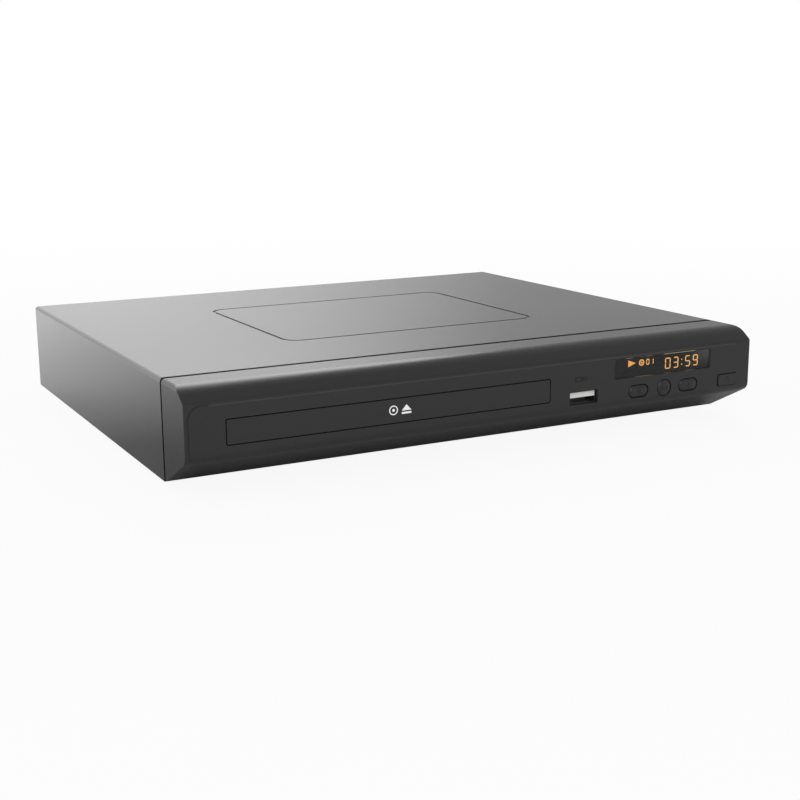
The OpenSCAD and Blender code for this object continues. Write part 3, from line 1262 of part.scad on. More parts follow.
top_cover();
chassis_pan();
rear_panel();
front_bezel();
rubber_feet();
rear_screws();
display_window();
tray_door();
power_button();
stop_button();
play_button();
eject_button();
front_board();
display_module();
tact_switches();
usb_shell();
usb_tongue();
ir_receiver();
front_ribbon();
loader_frame();
disc_tray();
clamp_bridge();
clamper();
clamper_plate();
loading_motor();
motor_pulley();
drive_belt();
pulley_gear();
loading_gear();
cam_slider();
traverse_frame();
drive_base();
damper_grommets();
spindle_motor();
turntable();
guide_rods();
pickup_sled();
lens_holder();
sled_motor();
lead_screw();
loader_screws();
main_board();
main_chips();
rca_block();
rca_shells();
rca_insert_yellow();
rca_insert_white();
rca_insert_red();
hdmi_socket();
power_board();
transformer();
capacitors();
heat_sink();
ac_inlet();
inlet_pins();
power_harness();
board_screws();
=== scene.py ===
"""A slim disc player: what its pieces look like, in the order in which they go together."""
import math

import bmesh
import bpy
from mathutils import Matrix, Vector


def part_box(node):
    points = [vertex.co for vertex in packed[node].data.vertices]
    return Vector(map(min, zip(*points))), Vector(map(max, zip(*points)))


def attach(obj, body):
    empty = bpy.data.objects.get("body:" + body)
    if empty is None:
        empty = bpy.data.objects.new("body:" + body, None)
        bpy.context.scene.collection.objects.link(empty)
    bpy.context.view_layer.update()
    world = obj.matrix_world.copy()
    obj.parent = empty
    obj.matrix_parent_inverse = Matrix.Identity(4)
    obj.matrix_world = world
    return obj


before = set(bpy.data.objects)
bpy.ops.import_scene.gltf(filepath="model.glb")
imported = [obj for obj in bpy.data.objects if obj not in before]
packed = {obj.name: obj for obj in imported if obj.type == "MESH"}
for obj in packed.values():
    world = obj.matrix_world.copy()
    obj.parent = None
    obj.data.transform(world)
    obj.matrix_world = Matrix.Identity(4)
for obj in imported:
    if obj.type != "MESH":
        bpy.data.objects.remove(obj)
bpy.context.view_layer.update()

# ---------------------------------------------------------------- the studio
# A long lens a little to the left of the front and just above the cover. The room is
# white, with a soft fall-off to the right, and the floor is a plain pale sheet whose
# reflections carry painted shade at the player's left and front and painted light behind.
side_turn, rise, roll = math.radians(-27.660), math.radians(12.830), math.radians(-0.452)
back = Vector((math.sin(side_turn) * math.cos(rise), -math.cos(side_turn) * math.cos(rise),
               math.sin(rise)))
right = Vector((0, 0, 1)).cross(back).normalized()
up = back.cross(right)
lens = bpy.data.cameras.new("lens")
lens.lens, lens.sensor_width = 60.02, 36
lens.clip_start, lens.clip_end = 0.01, 50
camera = bpy.data.objects.new("camera", lens)
bpy.context.scene.collection.objects.link(camera)
camera.matrix_world = Matrix((
    (*(math.cos(roll) * right + math.sin(roll) * up),),
    (*(math.cos(roll) * up - math.sin(roll) * right),),
    (*back,))).transposed().to_4x4()
camera.location = (-0.26368, -0.53421, 0.13660)
bpy.context.scene.camera = camera
bpy.context.scene.view_settings.view_transform = "Standard"


class Shade:
    """One value in a finish's nodes. Sums and products of shades add their own nodes."""

    def __init__(self, tree, socket=None):
        self.tree, self.socket = tree, socket

    def node(self, kind, settings=None, inputs=None, output=0):
        """Adds any node: its settings first, then values or shades on its sockets."""
        made = self.tree.nodes.new("ShaderNode" + kind)
        for name, value in (settings or {}).items():
            setattr(made, name, value)
        for name, value in (inputs or {}).items():
            if isinstance(value, Shade):
                self.tree.links.new(value.socket, made.inputs[name])
            else:
                made.inputs[name].default_value = value
        return Shade(self.tree, made.outputs[output] if len(made.outputs) else None)

    def math(self, operation, other=0.0, flip=False):
        pair = (other, self) if flip else (self, other)
        return self.node("Math", {"operation": operation}, {0: pair[0], 1: pair[1]})

    def __add__(self, other):
        return self.math("ADD", other)

    def __sub__(self, other):
        return self.math("SUBTRACT", other)

    def __rsub__(self, other):
        return self.math("SUBTRACT", other, flip=True)

    def __mul__(self, other):
        return self.math("MULTIPLY", other)

    __radd__ = __add__
    __rmul__ = __mul__

    def between(self, low, high):
        """0 below low, 1 above high, and a straight rise from one to the other."""
        return self.node("MapRange", None, {"Value": self, "From Min": low, "From Max": high})

    def tint(self, dark, light):
        """A colour that goes from dark to light as this value goes from 0 to 1."""
        pair = [tone if isinstance(tone, Shade) else (*tone, 1) for tone in (dark, light)]
        return self.node("Mix", {"data_type": "RGBA"}, {0: self, 6: pair[0], 7: pair[1]}, 2)


def finish(name, recipe):
    """A material. Its recipe gets the place on the object and gives back the shader."""
    material = bpy.data.materials.new(name)
    material.use_nodes = True
    material.node_tree.nodes.clear()
    start = Shade(material.node_tree)
    start.node("OutputMaterial", None, {"Surface": recipe(start.node("TexCoord", output="Object"))})
    return material


def axis(place, letter):
    """One coordinate of the place."""
    return place.node("SeparateXYZ", None, {"Vector": place}, letter)


def speckle(place, size, detail=2.0):
    """Cloudy noise with features of a size in metres."""
    return place.node("TexNoise", None, {"Vector": place, "Scale": 1 / size, "Detail": detail})


def rays(shade, *kinds):
    """1 for light that arrives by rays of these kinds, 0 for any other."""
    total = 0.0
    for kind in kinds:
        total = total + shade.node("LightPath", output=f"Is {kind} Ray")
    return total


def floor_sheet(place):
    ray, gloss = rays(place, "Camera", "Transmission"), rays(place, "Glossy")
    away = place.node("VectorMath", {"operation": "LENGTH"}, {0: place}, "Value").between(0.25, 0.8)
    depth = axis(place, "Y")
    left_shade_mask = axis(place, "X").between(-0.1, -0.15)
    fibre = speckle(place, 0.02) * 0.04 + 0.84
    # Seen in reflections, the floor has painted shade to the left of the player and in front of it.
    grey = fibre * (1 - gloss * left_shade_mask * (1 - depth.between(-0.1, 0.12)) * 0.7)
    paper = place.node("BsdfDiffuse", None, {"Color": grey})
    glow = place.node("Emission", None, {"Color": (1, 1, 1, 1), "Strength": ray + gloss * 1.8})
    # In reflections the floor also glows, a painted light that grows towards the back.
    share = ray * (0.92 + away * 0.08) + gloss * depth.between(-0.02, 0.32) * 0.85
    return place.node("MixShader", None, {0: share, 1: paper, 2: glow})


bpy.ops.object.select_all(action="DESELECT")
bpy.ops.mesh.primitive_plane_add(size=40, location=(0, 0, -0.00005))
bpy.context.object.name = "floor"
bpy.context.object.data.materials.append(finish("floor_sheet", floor_sheet))

room = bpy.data.worlds.new("room")
bpy.context.scene.world = room
room.use_nodes = True
room.node_tree.nodes.clear()
start = Shade(room.node_tree)
direction = start.node("TexCoord", output="Generated")


def towards(x, y, z):
    """How far the direction looked in agrees with the one given, up to 1."""
    return start.node("VectorMath", {"operation": "DOT_PRODUCT"}, {
        0: direction, 1: (x, y, z)}, "Value")


# Mirrored in the player, the room is brightest behind it at the left and darker overhead,
# with one soft light high at the back that picks out the cover's folded edge.
seen, mirrored = rays(start, "Camera", "Transmission"), rays(start, "Glossy")
ceiling = axis(direction, "Z")
soft_box = (0.56 + towards(-0.5, 0.866, 0.0).between(0.46, 0.7) * 0.8) * (
    1 - ceiling.between(0.28, 0.6) * 0.35)
soft_box = soft_box + towards(-0.17, 0.86, 0.48).between(0.93, 0.985) * 0.45
strength = seen + mirrored * soft_box + (1 - seen - mirrored) * 0.5
start.node("OutputWorld", None, {
    "Surface": start.node("Background", None, {"Color": (1, 1, 1, 1), "Strength": strength})})

for name, place, size, power in (
        ("key", (0.6, 1.6, 1.1), 1.0, 8.0),
        ("front", (-0.8, -1.5, 1.1), 1.3, 9.0),
        ("left", (-1.4, 0.4, 0.8), 0.9, 4.0)):
    lamp = bpy.data.lights.new(name, "AREA")
    lamp.shape, lamp.size, lamp.energy = "DISK", size, power
    lamp_at = bpy.data.objects.new(name, lamp)
    bpy.context.scene.collection.objects.link(lamp_at)
    lamp_at.location = place
    aim = Vector((0, 0, 0.02)) - Vector(place)
    lamp_at.rotation_euler = aim.to_track_quat("-Z", "Y").to_euler()

# ---------------------------------------------------------------- base pan and feet
# Zinc-plated sheet steel, folded up at both sides and pressed into stand-offs, on four
# round rubber feet. The plating shows faint spangles and the marks of rolling.


def dress(names, material):
    """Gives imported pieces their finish."""
    for name in names.split():
        for slot in packed[name].material_slots:
            slot.material = material


def stretched(place, x, y, z):
    """The place with its three directions scaled, for grain that runs one way."""
    return place.node("Mapping", None, {"Vector": place, "Scale": (x, y, z)})


def relief(place, height, depth, strength=1.0):
    """A surface roughened by a height, at a depth in metres."""
    return place.node("Bump", None, {"Height": height, "Distance": depth, "Strength": strength})


def zinc(place):
    spangle = place.node("TexVoronoi", None, {"Vector": place, "Scale": 160.0}, "Color")
    grey = spangle.node("SeparateColor", None, {"Color": spangle})
    rolled = speckle(stretched(place, 60, 1.5, 60), 0.05)
    return place.node("BsdfPrincipled", None, {
        "Base Color": (grey * 0.5 + rolled * 0.5).tint((0.5, 0.51, 0.53), (0.68, 0.69, 0.71)),
        "Metallic": 1.0, "Roughness": 0.3 + grey * 0.12,
        "Normal": relief(place, rolled, 0.00002, 0.5)})


def rubber(place):
    grain = speckle(place, 0.0006)
    return place.node("BsdfPrincipled", None, {
        "Base Color": grain.tint((0.014, 0.014, 0.014), (0.03, 0.03, 0.029)),
        "Roughness": 0.68 + grain * 0.2, "Normal": relief(place, grain, 0.00003)})


zinc_sheet = finish("zinc_sheet", zinc)
black_rubber = finish("black_rubber", rubber)
dress("chassis_pan clamp_bridge drive_base clamper_plate loader_screws board_screws", zinc_sheet)
dress("rubber_feet damper_grommets drive_belt", black_rubber)

# ---------------------------------------------------------------- boards at the back
# The decoder board is glass laminate under green lacquer with its copper runs showing
# through; the power board is brown paper laminate. Both are soldered and screwed down.


def laminate(dark, light, copper):
    def recipe(place):
        cells = place.node("TexVoronoi", {"distance": "MANHATTAN", "feature": "F1"},
                           {"Vector": place, "Scale": 420.0}, "Distance")
        runs = place.node("TexBrick", {"offset": 0.35, "squash": 0.6}, {
            "Vector": place, "Scale": 160.0, "Mortar Size": 0.05, "Brick Width": 1.2,
            "Row Height": 0.28}, "Fac")
        pads = 1 - cells.between(0.08, 0.12)
        weave = speckle(place, 0.0008)
        tracks = (runs * 0.55).tint(weave.tint(dark, light), copper)
        return place.node("BsdfPrincipled", None, {
            "Base Color": (pads * 0.7).tint(tracks, (0.6, 0.6, 0.58)),
            "Roughness": 0.32 + weave * 0.15, "Metallic": pads * 0.6,
            "Normal": relief(place, runs + pads, 0.00003)})
    return recipe


def moulded(tone, grain_size, rough):
    """Moulded plastic with an even fine grain of one size."""
    def recipe(place):
        grain = speckle(place, grain_size)
        cloud = speckle(place, 0.03)
        dark = tuple(0.88 * c for c in tone)
        return place.node("BsdfPrincipled", None, {
            "Base Color": (grain * 0.5 + cloud * 0.5).tint(dark, tuple(1.12 * c for c in tone)),
            "Roughness": rough - 0.04 + cloud * 0.08, "Normal": relief(place, grain, 0.00001, 0.6)})
    return recipe


def plated(tone, rough):
    """Bright metal plating with hair-fine drawing marks."""
    def recipe(place):
        lines = speckle(stretched(place, 1.5, 70, 70), 0.03, 3.0)
        return place.node("BsdfPrincipled", None, {
            "Base Color": lines.tint(tuple(0.85 * c for c in tone), tone), "Metallic": 1.0,
            "Roughness": rough + lines * 0.1, "Normal": relief(place, lines, 0.00001, 0.4)})
    return recipe


green_board = finish("green_board", laminate(
    (0.012, 0.09, 0.03), (0.018, 0.13, 0.045), (0.03, 0.2, 0.07)))
brown_board = finish("brown_board", laminate(
    (0.3, 0.18, 0.06), (0.38, 0.24, 0.09), (0.22, 0.14, 0.05)))
black_moulding = finish("black_moulding", moulded((0.026, 0.026, 0.028), 0.0003, 0.42))
nickel = finish("nickel", plated((0.72, 0.7, 0.66), 0.16))
steel_can = finish("steel_can", plated((0.62, 0.62, 0.63), 0.24))
brass = finish("brass", plated((0.75, 0.58, 0.28), 0.22))
dress("main_board", green_board)
dress("front_board power_board", brown_board)
dress("main_chips rca_block ac_inlet tact_switches", black_moulding)
dress("rca_shells", nickel)
dress("hdmi_socket loading_motor sled_motor", steel_can)
# The socket's shell is toned near-black as painted shade for the inside of the socket.
dress("usb_shell", finish("socket_shade_nickel", plated((0.15, 0.15, 0.155), 0.45)))
dress("inlet_pins", brass)
for name, tone in (
        ("rca_insert_yellow", (0.8, 0.5, 0.02)), ("rca_insert_white", (0.8, 0.8, 0.77)),
        ("rca_insert_red", (0.6, 0.02, 0.02)), ("usb_tongue", (0.93, 0.93, 0.9)),
        ("power_harness", (0.45, 0.05, 0.03)), ("front_ribbon", (0.62, 0.62, 0.58))):
    dress(name, finish(name + "_plastic", moulded(tone, 0.0004, 0.34)))


def ferrite(place):
    pores = speckle(place, 0.0005, 4.0)
    tape = axis(place, "Y") * 700
    turns = tape.math("FRACT").between(0.1, 0.3)
    return place.node("BsdfPrincipled", None, {
        "Base Color": (pores * 0.7 + turns * 0.3).tint((0.03, 0.03, 0.032), (0.075, 0.073, 0.07)),
        "Roughness": 0.55 + pores * 0.2, "Normal": relief(place, pores + turns, 0.00004)})


def sleeve(place):
    top = axis(place, "Z").between(0.0217, 0.0219)
    wave = place.node("TexWave", {"bands_direction": "X"}, {"Vector": place, "Scale": 26.0})
    paint = wave.between(0.9, 0.95).tint((0.012, 0.02, 0.08), (0.5, 0.5, 0.55))
    return place.node("BsdfPrincipled", None, {
        "Base Color": top.tint(paint, (0.6, 0.6, 0.61)),
        "Metallic": top, "Roughness": 0.22 + speckle(place, 0.002) * 0.1})


def die_cast(place):
    skin = speckle(place, 0.0009, 4.0)
    return place.node("BsdfPrincipled", None, {
        "Base Color": skin.tint((0.5, 0.5, 0.52), (0.64, 0.64, 0.66)), "Metallic": 1.0,
        "Roughness": 0.34 + skin * 0.16, "Normal": relief(place, skin, 0.00004)})


dress("transformer", finish("ferrite", ferrite))
dress("capacitors", finish("capacitor_sleeve", sleeve))
cast_alloy = finish("cast_alloy", die_cast)
dress("heat_sink pickup_sled", cast_alloy)

# ---------------------------------------------------------------- loader and its gears
# The loader frame is one glass-filled moulding. The gears, pulleys, cam slider and
# clamper are natural acetal, which is waxy and lets a little light in.


def acetal(place):
    cloud = speckle(place, 0.004)
    return place.node("BsdfPrincipled", None, {
        "Base Color": cloud.tint((0.66, 0.65, 0.6), (0.78, 0.77, 0.73)),
        "Roughness": 0.36 + cloud * 0.1, "Subsurface Weight": 0.06, "Subsurface Scale": 0.002,
        "Normal": relief(place, speckle(place, 0.0005), 0.00001, 0.5)})


loader_moulding = finish("loader_moulding", moulded((0.034, 0.034, 0.036), 0.0005, 0.48))
natural_acetal = finish("natural_acetal", acetal)
dress("loader_frame traverse_frame", loader_moulding)
dress("motor_pulley pulley_gear loading_gear cam_slider clamper", natural_acetal)

# ---------------------------------------------------------------- traverse and pickup
# A ground steel pair of rods and a rolled lead screw carry the die-cast pickup, whose
# lens sits in a springy holder. The spindle motor's windings are varnished copper.


def middle_of(name):
    """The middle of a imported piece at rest."""
    low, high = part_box(name)
    return (low + high) / 2


spindle_axis = (*middle_of("turntable").xy, 0.0)
lens_axis = (*middle_of("lens_holder").xy, 0.0)


def radius_from(place, middle):
    """Distance from an upright axis through a point."""
    return place.node("VectorMath", {"operation": "DISTANCE"}, {
        0: stretched(place, 1, 1, 0), 1: middle}, "Value")


def windings(place):
    radius = radius_from(place, spindle_axis)
    teeth = radius.between(0.0026, 0.0031) * (1 - radius.between(0.0098, 0.0104))
    wire = (axis(place, "Z") * 2500).math("FRACT")
    return place.node("BsdfPrincipled", None, {
        "Base Color": teeth.tint((0.5, 0.5, 0.52), wire.tint((0.36, 0.13, 0.05), (0.72, 0.33, 0.14))),
        "Metallic": 1.0, "Roughness": 0.3 + wire * 0.15,
        "Normal": relief(place, wire * teeth, 0.00006)})


def lens_and_holder(place):
    radius = radius_from(place, lens_axis)
    glass = 1 - radius.between(0.00245, 0.00255)
    bloom = radius.between(0.0, 0.0024)
    grain = speckle(place, 0.0004)
    return place.node("BsdfPrincipled", None, {
        "Base Color": glass.tint(grain.tint((0.03, 0.025, 0.045), (0.05, 0.04, 0.07)),
                                 bloom.tint((0.02, 0.05, 0.16), (0.1, 0.04, 0.2))),
        "Roughness": 0.45 - glass * 0.4, "Coat Weight": glass, "Coat Roughness": 0.03})


ground_rod = finish("ground_rod", plated((0.78, 0.78, 0.8), 0.1))
dress("guide_rods lead_screw", ground_rod)
dress("spindle_motor", finish("copper_windings", windings))
dress("lens_holder", finish("lens_and_holder", lens_and_holder))
dress("turntable", black_moulding)


def settle(name, body, slot, *materials):
    """Names the finished piece, puts its place in its mesh and lets it ride on a body."""
    piece = bpy.context.object
    bpy.ops.object.transform_apply(location=True, rotation=True, scale=True)
    piece.name = piece.data.name = name
    piece.data.materials.clear()
    for material in materials:
        piece.data.materials.append(material)
    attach(piece, body)
    return piece


# The screw's thread: one small ridge, sunk a little into the rod that it winds along.
ridge, sunk, pitch, turns_round, plain_end = 0.00028, 0.00008, 0.003, 19, 0.0031
screw, (screw_low, screw_high) = middle_of("lead_screw"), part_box("lead_screw")
screw_radius = (screw_high.x - screw_low.x) / 2
bpy.ops.object.select_all(action="DESELECT")
bpy.ops.mesh.primitive_circle_add(vertices=6, radius=ridge, fill_type="NOTHING",
                                  location=(screw_radius - sunk, 0, 0))
bpy.ops.object.transform_apply(location=True, rotation=True, scale=True)
thread = bpy.context.object
wind = thread.modifiers.new("wind", "SCREW")
wind.axis, wind.screw_offset, wind.iterations = "Y", pitch, turns_round
wind.steps = wind.render_steps = 20
bpy.ops.object.modifier_apply(modifier="wind")
bpy.ops.object.mode_set(mode="EDIT")
bpy.ops.mesh.select_all(action="SELECT")
bpy.ops.mesh.fill_holes(sides=8)
bpy.ops.mesh.normals_make_consistent(inside=False)
bpy.ops.object.mode_set(mode="OBJECT")
thread.location = (screw.x, screw_low.y + plain_end, screw.z)
settle("screw_thread", "lead_screw", "polished_rod", ground_rod)

# ---------------------------------------------------------------- disc tray
# The tray is a satin black moulding with a finely turned pocket floor, so the disc's
# seat shows faint rings round its middle.


def tray_skin(place):
    radius = radius_from(place, spindle_axis)
    rings = (radius * 1800).math("FRACT").between(0.2, 0.8) * (1 - radius.between(0.0395, 0.0402))
    grain = speckle(place, 0.0003)
    return place.node("BsdfPrincipled", None, {
        "Base Color": grain.tint((0.019, 0.019, 0.02), (0.026, 0.026, 0.027)),
        "Roughness": 0.38 + grain * 0.08, "Normal": relief(place, rings * 0.4 + grain, 0.00001, 0.7)})


dress("disc_tray", finish("tray_skin", tray_skin))

# ---------------------------------------------------------------- display and its window
# Amber segments glow behind a smoke-tinted window: a play sign, a disc, a track number
# and the running time, each a thin lit area with a paler middle.
pane = middle_of("display_window")
glass_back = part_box("display_module")[0].y - 0.0005


def smoked(place):
    wipe = speckle(stretched(place, 1, 2, 2), 0.05, 1.0)
    # A paler patch towards the window's right end is a painted reflection.
    painted_reflection = (axis(place, "X") - pane.x).between(0.01385, 0.02285) * (
        axis(place, "Z") - pane.z).between(-0.00225, 0.00475)
    return place.node("BsdfPrincipled", None, {
        "Base Color": painted_reflection.tint((0.011, 0.011, 0.0115), (0.13, 0.13, 0.128)),
        "Alpha": 0.67, "Roughness": 0.1 + wipe * 0.02, "IOR": 1.56})


def lit(tone, power):
    def recipe(place):
        mesh_wires = speckle(place, 0.0004).tint(tuple(0.9 * c for c in tone), tone)
        return place.node("BsdfPrincipled", None, {
            "Base Color": (0.3, 0.14, 0.03, 1), "Roughness": 0.6,
            "Emission Color": mesh_wires, "Emission Strength": power})
    return recipe


dress("display_window", finish("smoked_window", smoked))
dress("display_module ir_receiver",
      finish("display_housing", moulded((0.009, 0.009, 0.01), 0.003, 0.4)))
amber = finish("amber_glow", lit((1.0, 0.47, 0.1), 2.35))
pale_amber = finish("amber_core", lit((1.0, 0.66, 0.33), 2.4))


def flat_sign(sides, x, z, width, height, turn=0.0, hole=0.0, y=glass_back, thick=0.0001):
    """A thin flat shape facing the front: a polygon of so many sides, pierced if wanted."""
    bpy.ops.object.select_all(action="DESELECT")
    bpy.ops.mesh.primitive_circle_add(vertices=sides, radius=0.5, fill_type="NGON",
                                      rotation=(math.pi / 2, turn, 0))
    bpy.ops.object.transform_apply(location=False, rotation=True, scale=True)
    sign = bpy.context.object
    bpy.ops.object.mode_set(mode="EDIT")
    bpy.ops.mesh.select_all(action="SELECT")
    if hole:
        bpy.ops.mesh.inset(thickness=0.5 * (1 - hole))
        bpy.ops.mesh.delete(type="FACE")
        bpy.ops.mesh.select_all(action="SELECT")
    bpy.ops.mesh.extrude_region_move(TRANSFORM_OT_translate={"value": (0, 0.1, 0)})
    bpy.ops.mesh.select_all(action="SELECT")
    bpy.ops.mesh.normals_make_consistent(inside=False)
    bpy.ops.object.mode_set(mode="OBJECT")
    low = Vector(min(v.co[k] for v in sign.data.vertices) for k in range(3))
    high = Vector(max(v.co[k] for v in sign.data.vertices) for k in range(3))
    sign.data.transform(Matrix.Translation(-(low + high) / 2))
    sign.scale = (width / (high.x - low.x), thick / 0.1, height / (high.z - low.z))
    sign.location = (x, y, z)
    bpy.ops.object.transform_apply(location=True, rotation=True, scale=True)
    return sign


def slab(x, z, width, height, **more):
    """A flat rectangle facing the front."""
    return flat_sign(4, x, z, width, height, turn=math.pi / 4, **more)


def gather(signs):
    """Joins the parts of a sign into one piece."""
    bpy.ops.object.select_all(action="DESELECT")
    for sign in signs:
        sign.select_set(True)
    bpy.context.view_layer.objects.active = signs[0]
    if len(signs) > 1:
        bpy.ops.object.join()
    return bpy.context.object


# One segment, a bar with pointed ends and a paler bar in front of it.
bars = []
for length, width, lift in ((1.0, 0.26, 0.0), (0.8, 0.08, 0.12)):
    bpy.ops.object.select_all(action="DESELECT")
    bpy.ops.mesh.primitive_cube_add(size=1, scale=(length - width, 0.1, width),
                                    location=(0, -lift, 0))
    bpy.ops.object.transform_apply(location=True, rotation=True, scale=True)
    bar = bpy.context.object
    for end in (-1, 1):
        bpy.ops.object.mode_set(mode="EDIT")
        bpy.ops.mesh.select_mode(type="FACE")
        bpy.ops.mesh.select_all(action="DESELECT")
        shape = bmesh.from_edit_mesh(bar.data)
        for face in shape.faces:
            face.select = face.normal.x * end > 0.9
        bmesh.update_edit_mesh(bar.data)
        bpy.ops.mesh.extrude_region_move(TRANSFORM_OT_translate={"value": (end * width / 2, 0, 0)})
        bpy.ops.transform.resize(value=(1, 1, 0.02))
        bpy.ops.object.mode_set(mode="OBJECT")
    bar.data.materials.append(amber if lift == 0 else pale_amber)
    bars.append(bar)
segment = gather(bars)
segment.name = "segment"

# Where the seven segments lie in a digit, as middle x, middle z and upright or not.
layout = {"a": (0, 1, 0), "b": (0.5, 0.5, 1), "c": (0.5, -0.5, 1), "d": (0, -1, 0),
          "e": (-0.5, -0.5, 1), "f": (-0.5, 0.5, 1), "g": (0, 0, 0)}
digits = {"0": "abcdef", "1": "bc", "3": "abcdg", "5": "acdfg", "9": "abcdfg"}
strokes = []
# Each digit's place right of and above the window's middle, and its width and height, in mm.
for digit, x, z, width, height in (
        ("0", 4.45, 0, 2.35, 4.2), ("3", 8.6, 0, 2.15, 4.2),
        ("5", 14.8, 0, 2.15, 4.2), ("9", 18.85, 0, 2.15, 4.2),
        ("0", -5.85, 1.6, 1.2, 2.1), ("1", -3.75, 1.6, 1.2, 2.1)):
    for letter in digits[digit]:
        sx, sz, upright = layout[letter]
        stroke = segment.copy()
        stroke.data = segment.data.copy()
        bpy.context.scene.collection.objects.link(stroke)
        length = (height / 2 if upright else width) / 1000 * 0.98
        heavy = (1.0 + 0.16 * height) / 1000
        turn = Matrix.Rotation(math.pi / 2, 4, "Y") if upright else Matrix()
        stroke.data.transform(Matrix.Diagonal((length, 0.001, heavy, 1)))
        stroke.data.transform(Matrix.Translation((
            pane.x + (x + sx * width) / 1000, glass_back,
            pane.z + (z + sz * height / 2) / 1000)) @ turn)
        strokes.append(stroke)
bpy.data.objects.remove(segment)
clock = gather(strokes)
clock.name = clock.data.name = "running_time"
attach(clock, "housing")

gather([slab(pane.x + 0.0117, pane.z + lift, 0.0005, 0.0005) for lift in (-0.0011, 0.0009)])
settle("time_colon", "housing", "tinted_window", amber)
flat_sign(3, pane.x - 0.01385, pane.z + 0.0017, 0.0037, 0.0028, turn=math.pi / 2)
settle("play_sign", "housing", "tinted_window", amber)
gather([flat_sign(32, pane.x - 0.009, pane.z + 0.0016, 0.0027, 0.0027, hole=0.62),
        flat_sign(24, pane.x - 0.009, pane.z + 0.0016, 0.0009, 0.0009)])
settle("disc_sign", "housing", "tinted_window", amber)

# The window's bevelled rim, with thin streaks of the display's light painted on it as a glow.
rim_wide, rim_high, rim_wall, rim_deep, rim_slope = 0.04906, 0.00816, 0.00028, 0.0006, 0.0005
panel_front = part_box("front_bezel")[0].y


def spans(along, *pairs):
    """1 inside any of the stretches given in metres, with soft ends, 0 elsewhere."""
    total = 0.0
    for low, high, power in pairs:
        total = total + along.between(low - 0.0006, low + 0.0006) * (
            1 - along.between(high - 0.0006, high + 0.0006)) * power
    return total


def rim(place):
    along, up_to = axis(place, "X") - pane.x, axis(place, "Z") - pane.z
    above = spans(along, (-0.01885, -0.01575, 0.5), (-0.00855, -0.00565, 0.4),
                  (0.00035, 0.01635, 1.0))
    below = spans(along, (-0.01365, -0.00565, 0.2), (0.00105, 0.00355, 0.15),
                  (0.01135, 0.01635, 0.15))
    # Painted reflection: thin amber streaks glow on the rim's top and bottom.
    painted_glint = above * up_to.between(0.00445, 0.00455) + (
        below * (1 - up_to.between(-0.00335, -0.00315)))
    grain = speckle(place, 0.0008)
    return place.node("BsdfPrincipled", None, {
        "Base Color": grain.tint((0.022, 0.022, 0.022), (0.028, 0.028, 0.028)),
        "Roughness": 0.3 + grain * 0.05,
        "Emission Color": (painted_glint * (0.6 + grain * 0.8)).tint((0, 0, 0), (0.5, 0.37, 0.2)),
        "Emission Strength": 1.0})


bpy.ops.object.select_all(action="DESELECT")
bpy.ops.mesh.primitive_plane_add(size=1, rotation=(math.pi / 2, 0, 0))
window_rim = bpy.context.object
window_rim.scale = (rim_wide, rim_high, 1)
bpy.ops.object.transform_apply(location=False, rotation=False, scale=True)
bpy.ops.object.transform_apply(location=False, rotation=True, scale=False)
bpy.ops.object.mode_set(mode="EDIT")
bpy.ops.mesh.select_all(action="SELECT")
bpy.ops.mesh.bevel(offset=0.0005, segments=3, affect="VERTICES")
bpy.ops.mesh.inset(thickness=rim_wall)
bpy.ops.mesh.delete(type="FACE")
bpy.ops.mesh.select_all(action="SELECT")
bpy.ops.mesh.extrude_region_move(TRANSFORM_OT_translate={"value": (0, rim_deep, 0)})
bpy.ops.mesh.select_all(action="DESELECT")
shape = bmesh.from_edit_mesh(window_rim.data)
for point in shape.verts:
    inner = abs(point.co.x) < (rim_wide - rim_wall) / 2 and abs(point.co.z) < (rim_high - rim_wall) / 2
    point.select = inner and point.co.y < rim_deep / 2
shape.select_flush(True)
bmesh.update_edit_mesh(window_rim.data)
bpy.ops.transform.translate(value=(0, rim_slope, 0))
bpy.ops.mesh.select_all(action="SELECT")
bpy.ops.mesh.normals_make_consistent(inside=False)
bpy.ops.object.mode_set(mode="OBJECT")
window_rim.location = (pane.x, panel_front + 0.00005, pane.z + 0.00065)
settle("window_rim", "housing", "bezel_plastic", finish("rim_gloss", rim))

# ---------------------------------------------------------------- front bezel, door and buttons
# All are moulded in one dark grey with a spark-eroded grain. The rolled brow runs into
# a slightly raised flat panel; the lip that the cover laps over has painted shade, near-black and
# dull, for the seam's shadow.
cover_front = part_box("top_cover")[0].y


def eroded(place):
    pits = speckle(place, 0.00028, 3.0)
    cloud = speckle(place, 0.05)
    along, up_to = axis(place, "X"), axis(place, "Z")
    # A paler line along the raised panel's upper edge is a painted highlight mixed into the grain's
    # tone, and the top of the brow is smoother.
    edge_highlight = up_to.between(0.03395, 0.0342) * (1 - up_to.between(0.0346, 0.0347)) * (
        along.between(-0.1165, -0.115)) * (1 - along.between(0.1165, 0.118))
    rubbed = up_to.between(0.036, 0.0395) * (0.02 + along.between(-0.12, 0.04) * 0.11)
    wear = pits * 0.05 + cloud * 0.035 + edge_highlight * 0.45
    outside = place.node("BsdfPrincipled", None, {
        "Base Color": wear.tint((0.0235, 0.0235, 0.0235), (0.09, 0.09, 0.0895)),
        "Roughness": 0.34 + pits * 0.08 - rubbed, "IOR": 1.45,
        "Normal": relief(place, pits, 0.00001, 0.5)})
    # Painted shade: inside the seam the lip is near-black and dull.
    bezel_seam_shade = place.node("BsdfDiffuse", None, {"Color": (0.003, 0.003, 0.003, 1)})
    in_seam = axis(place, "Y").between(cover_front - 0.00127, cover_front - 0.00125)
    return place.node("MixShader", None, {0: in_seam, 1: outside, 2: bezel_seam_shade})


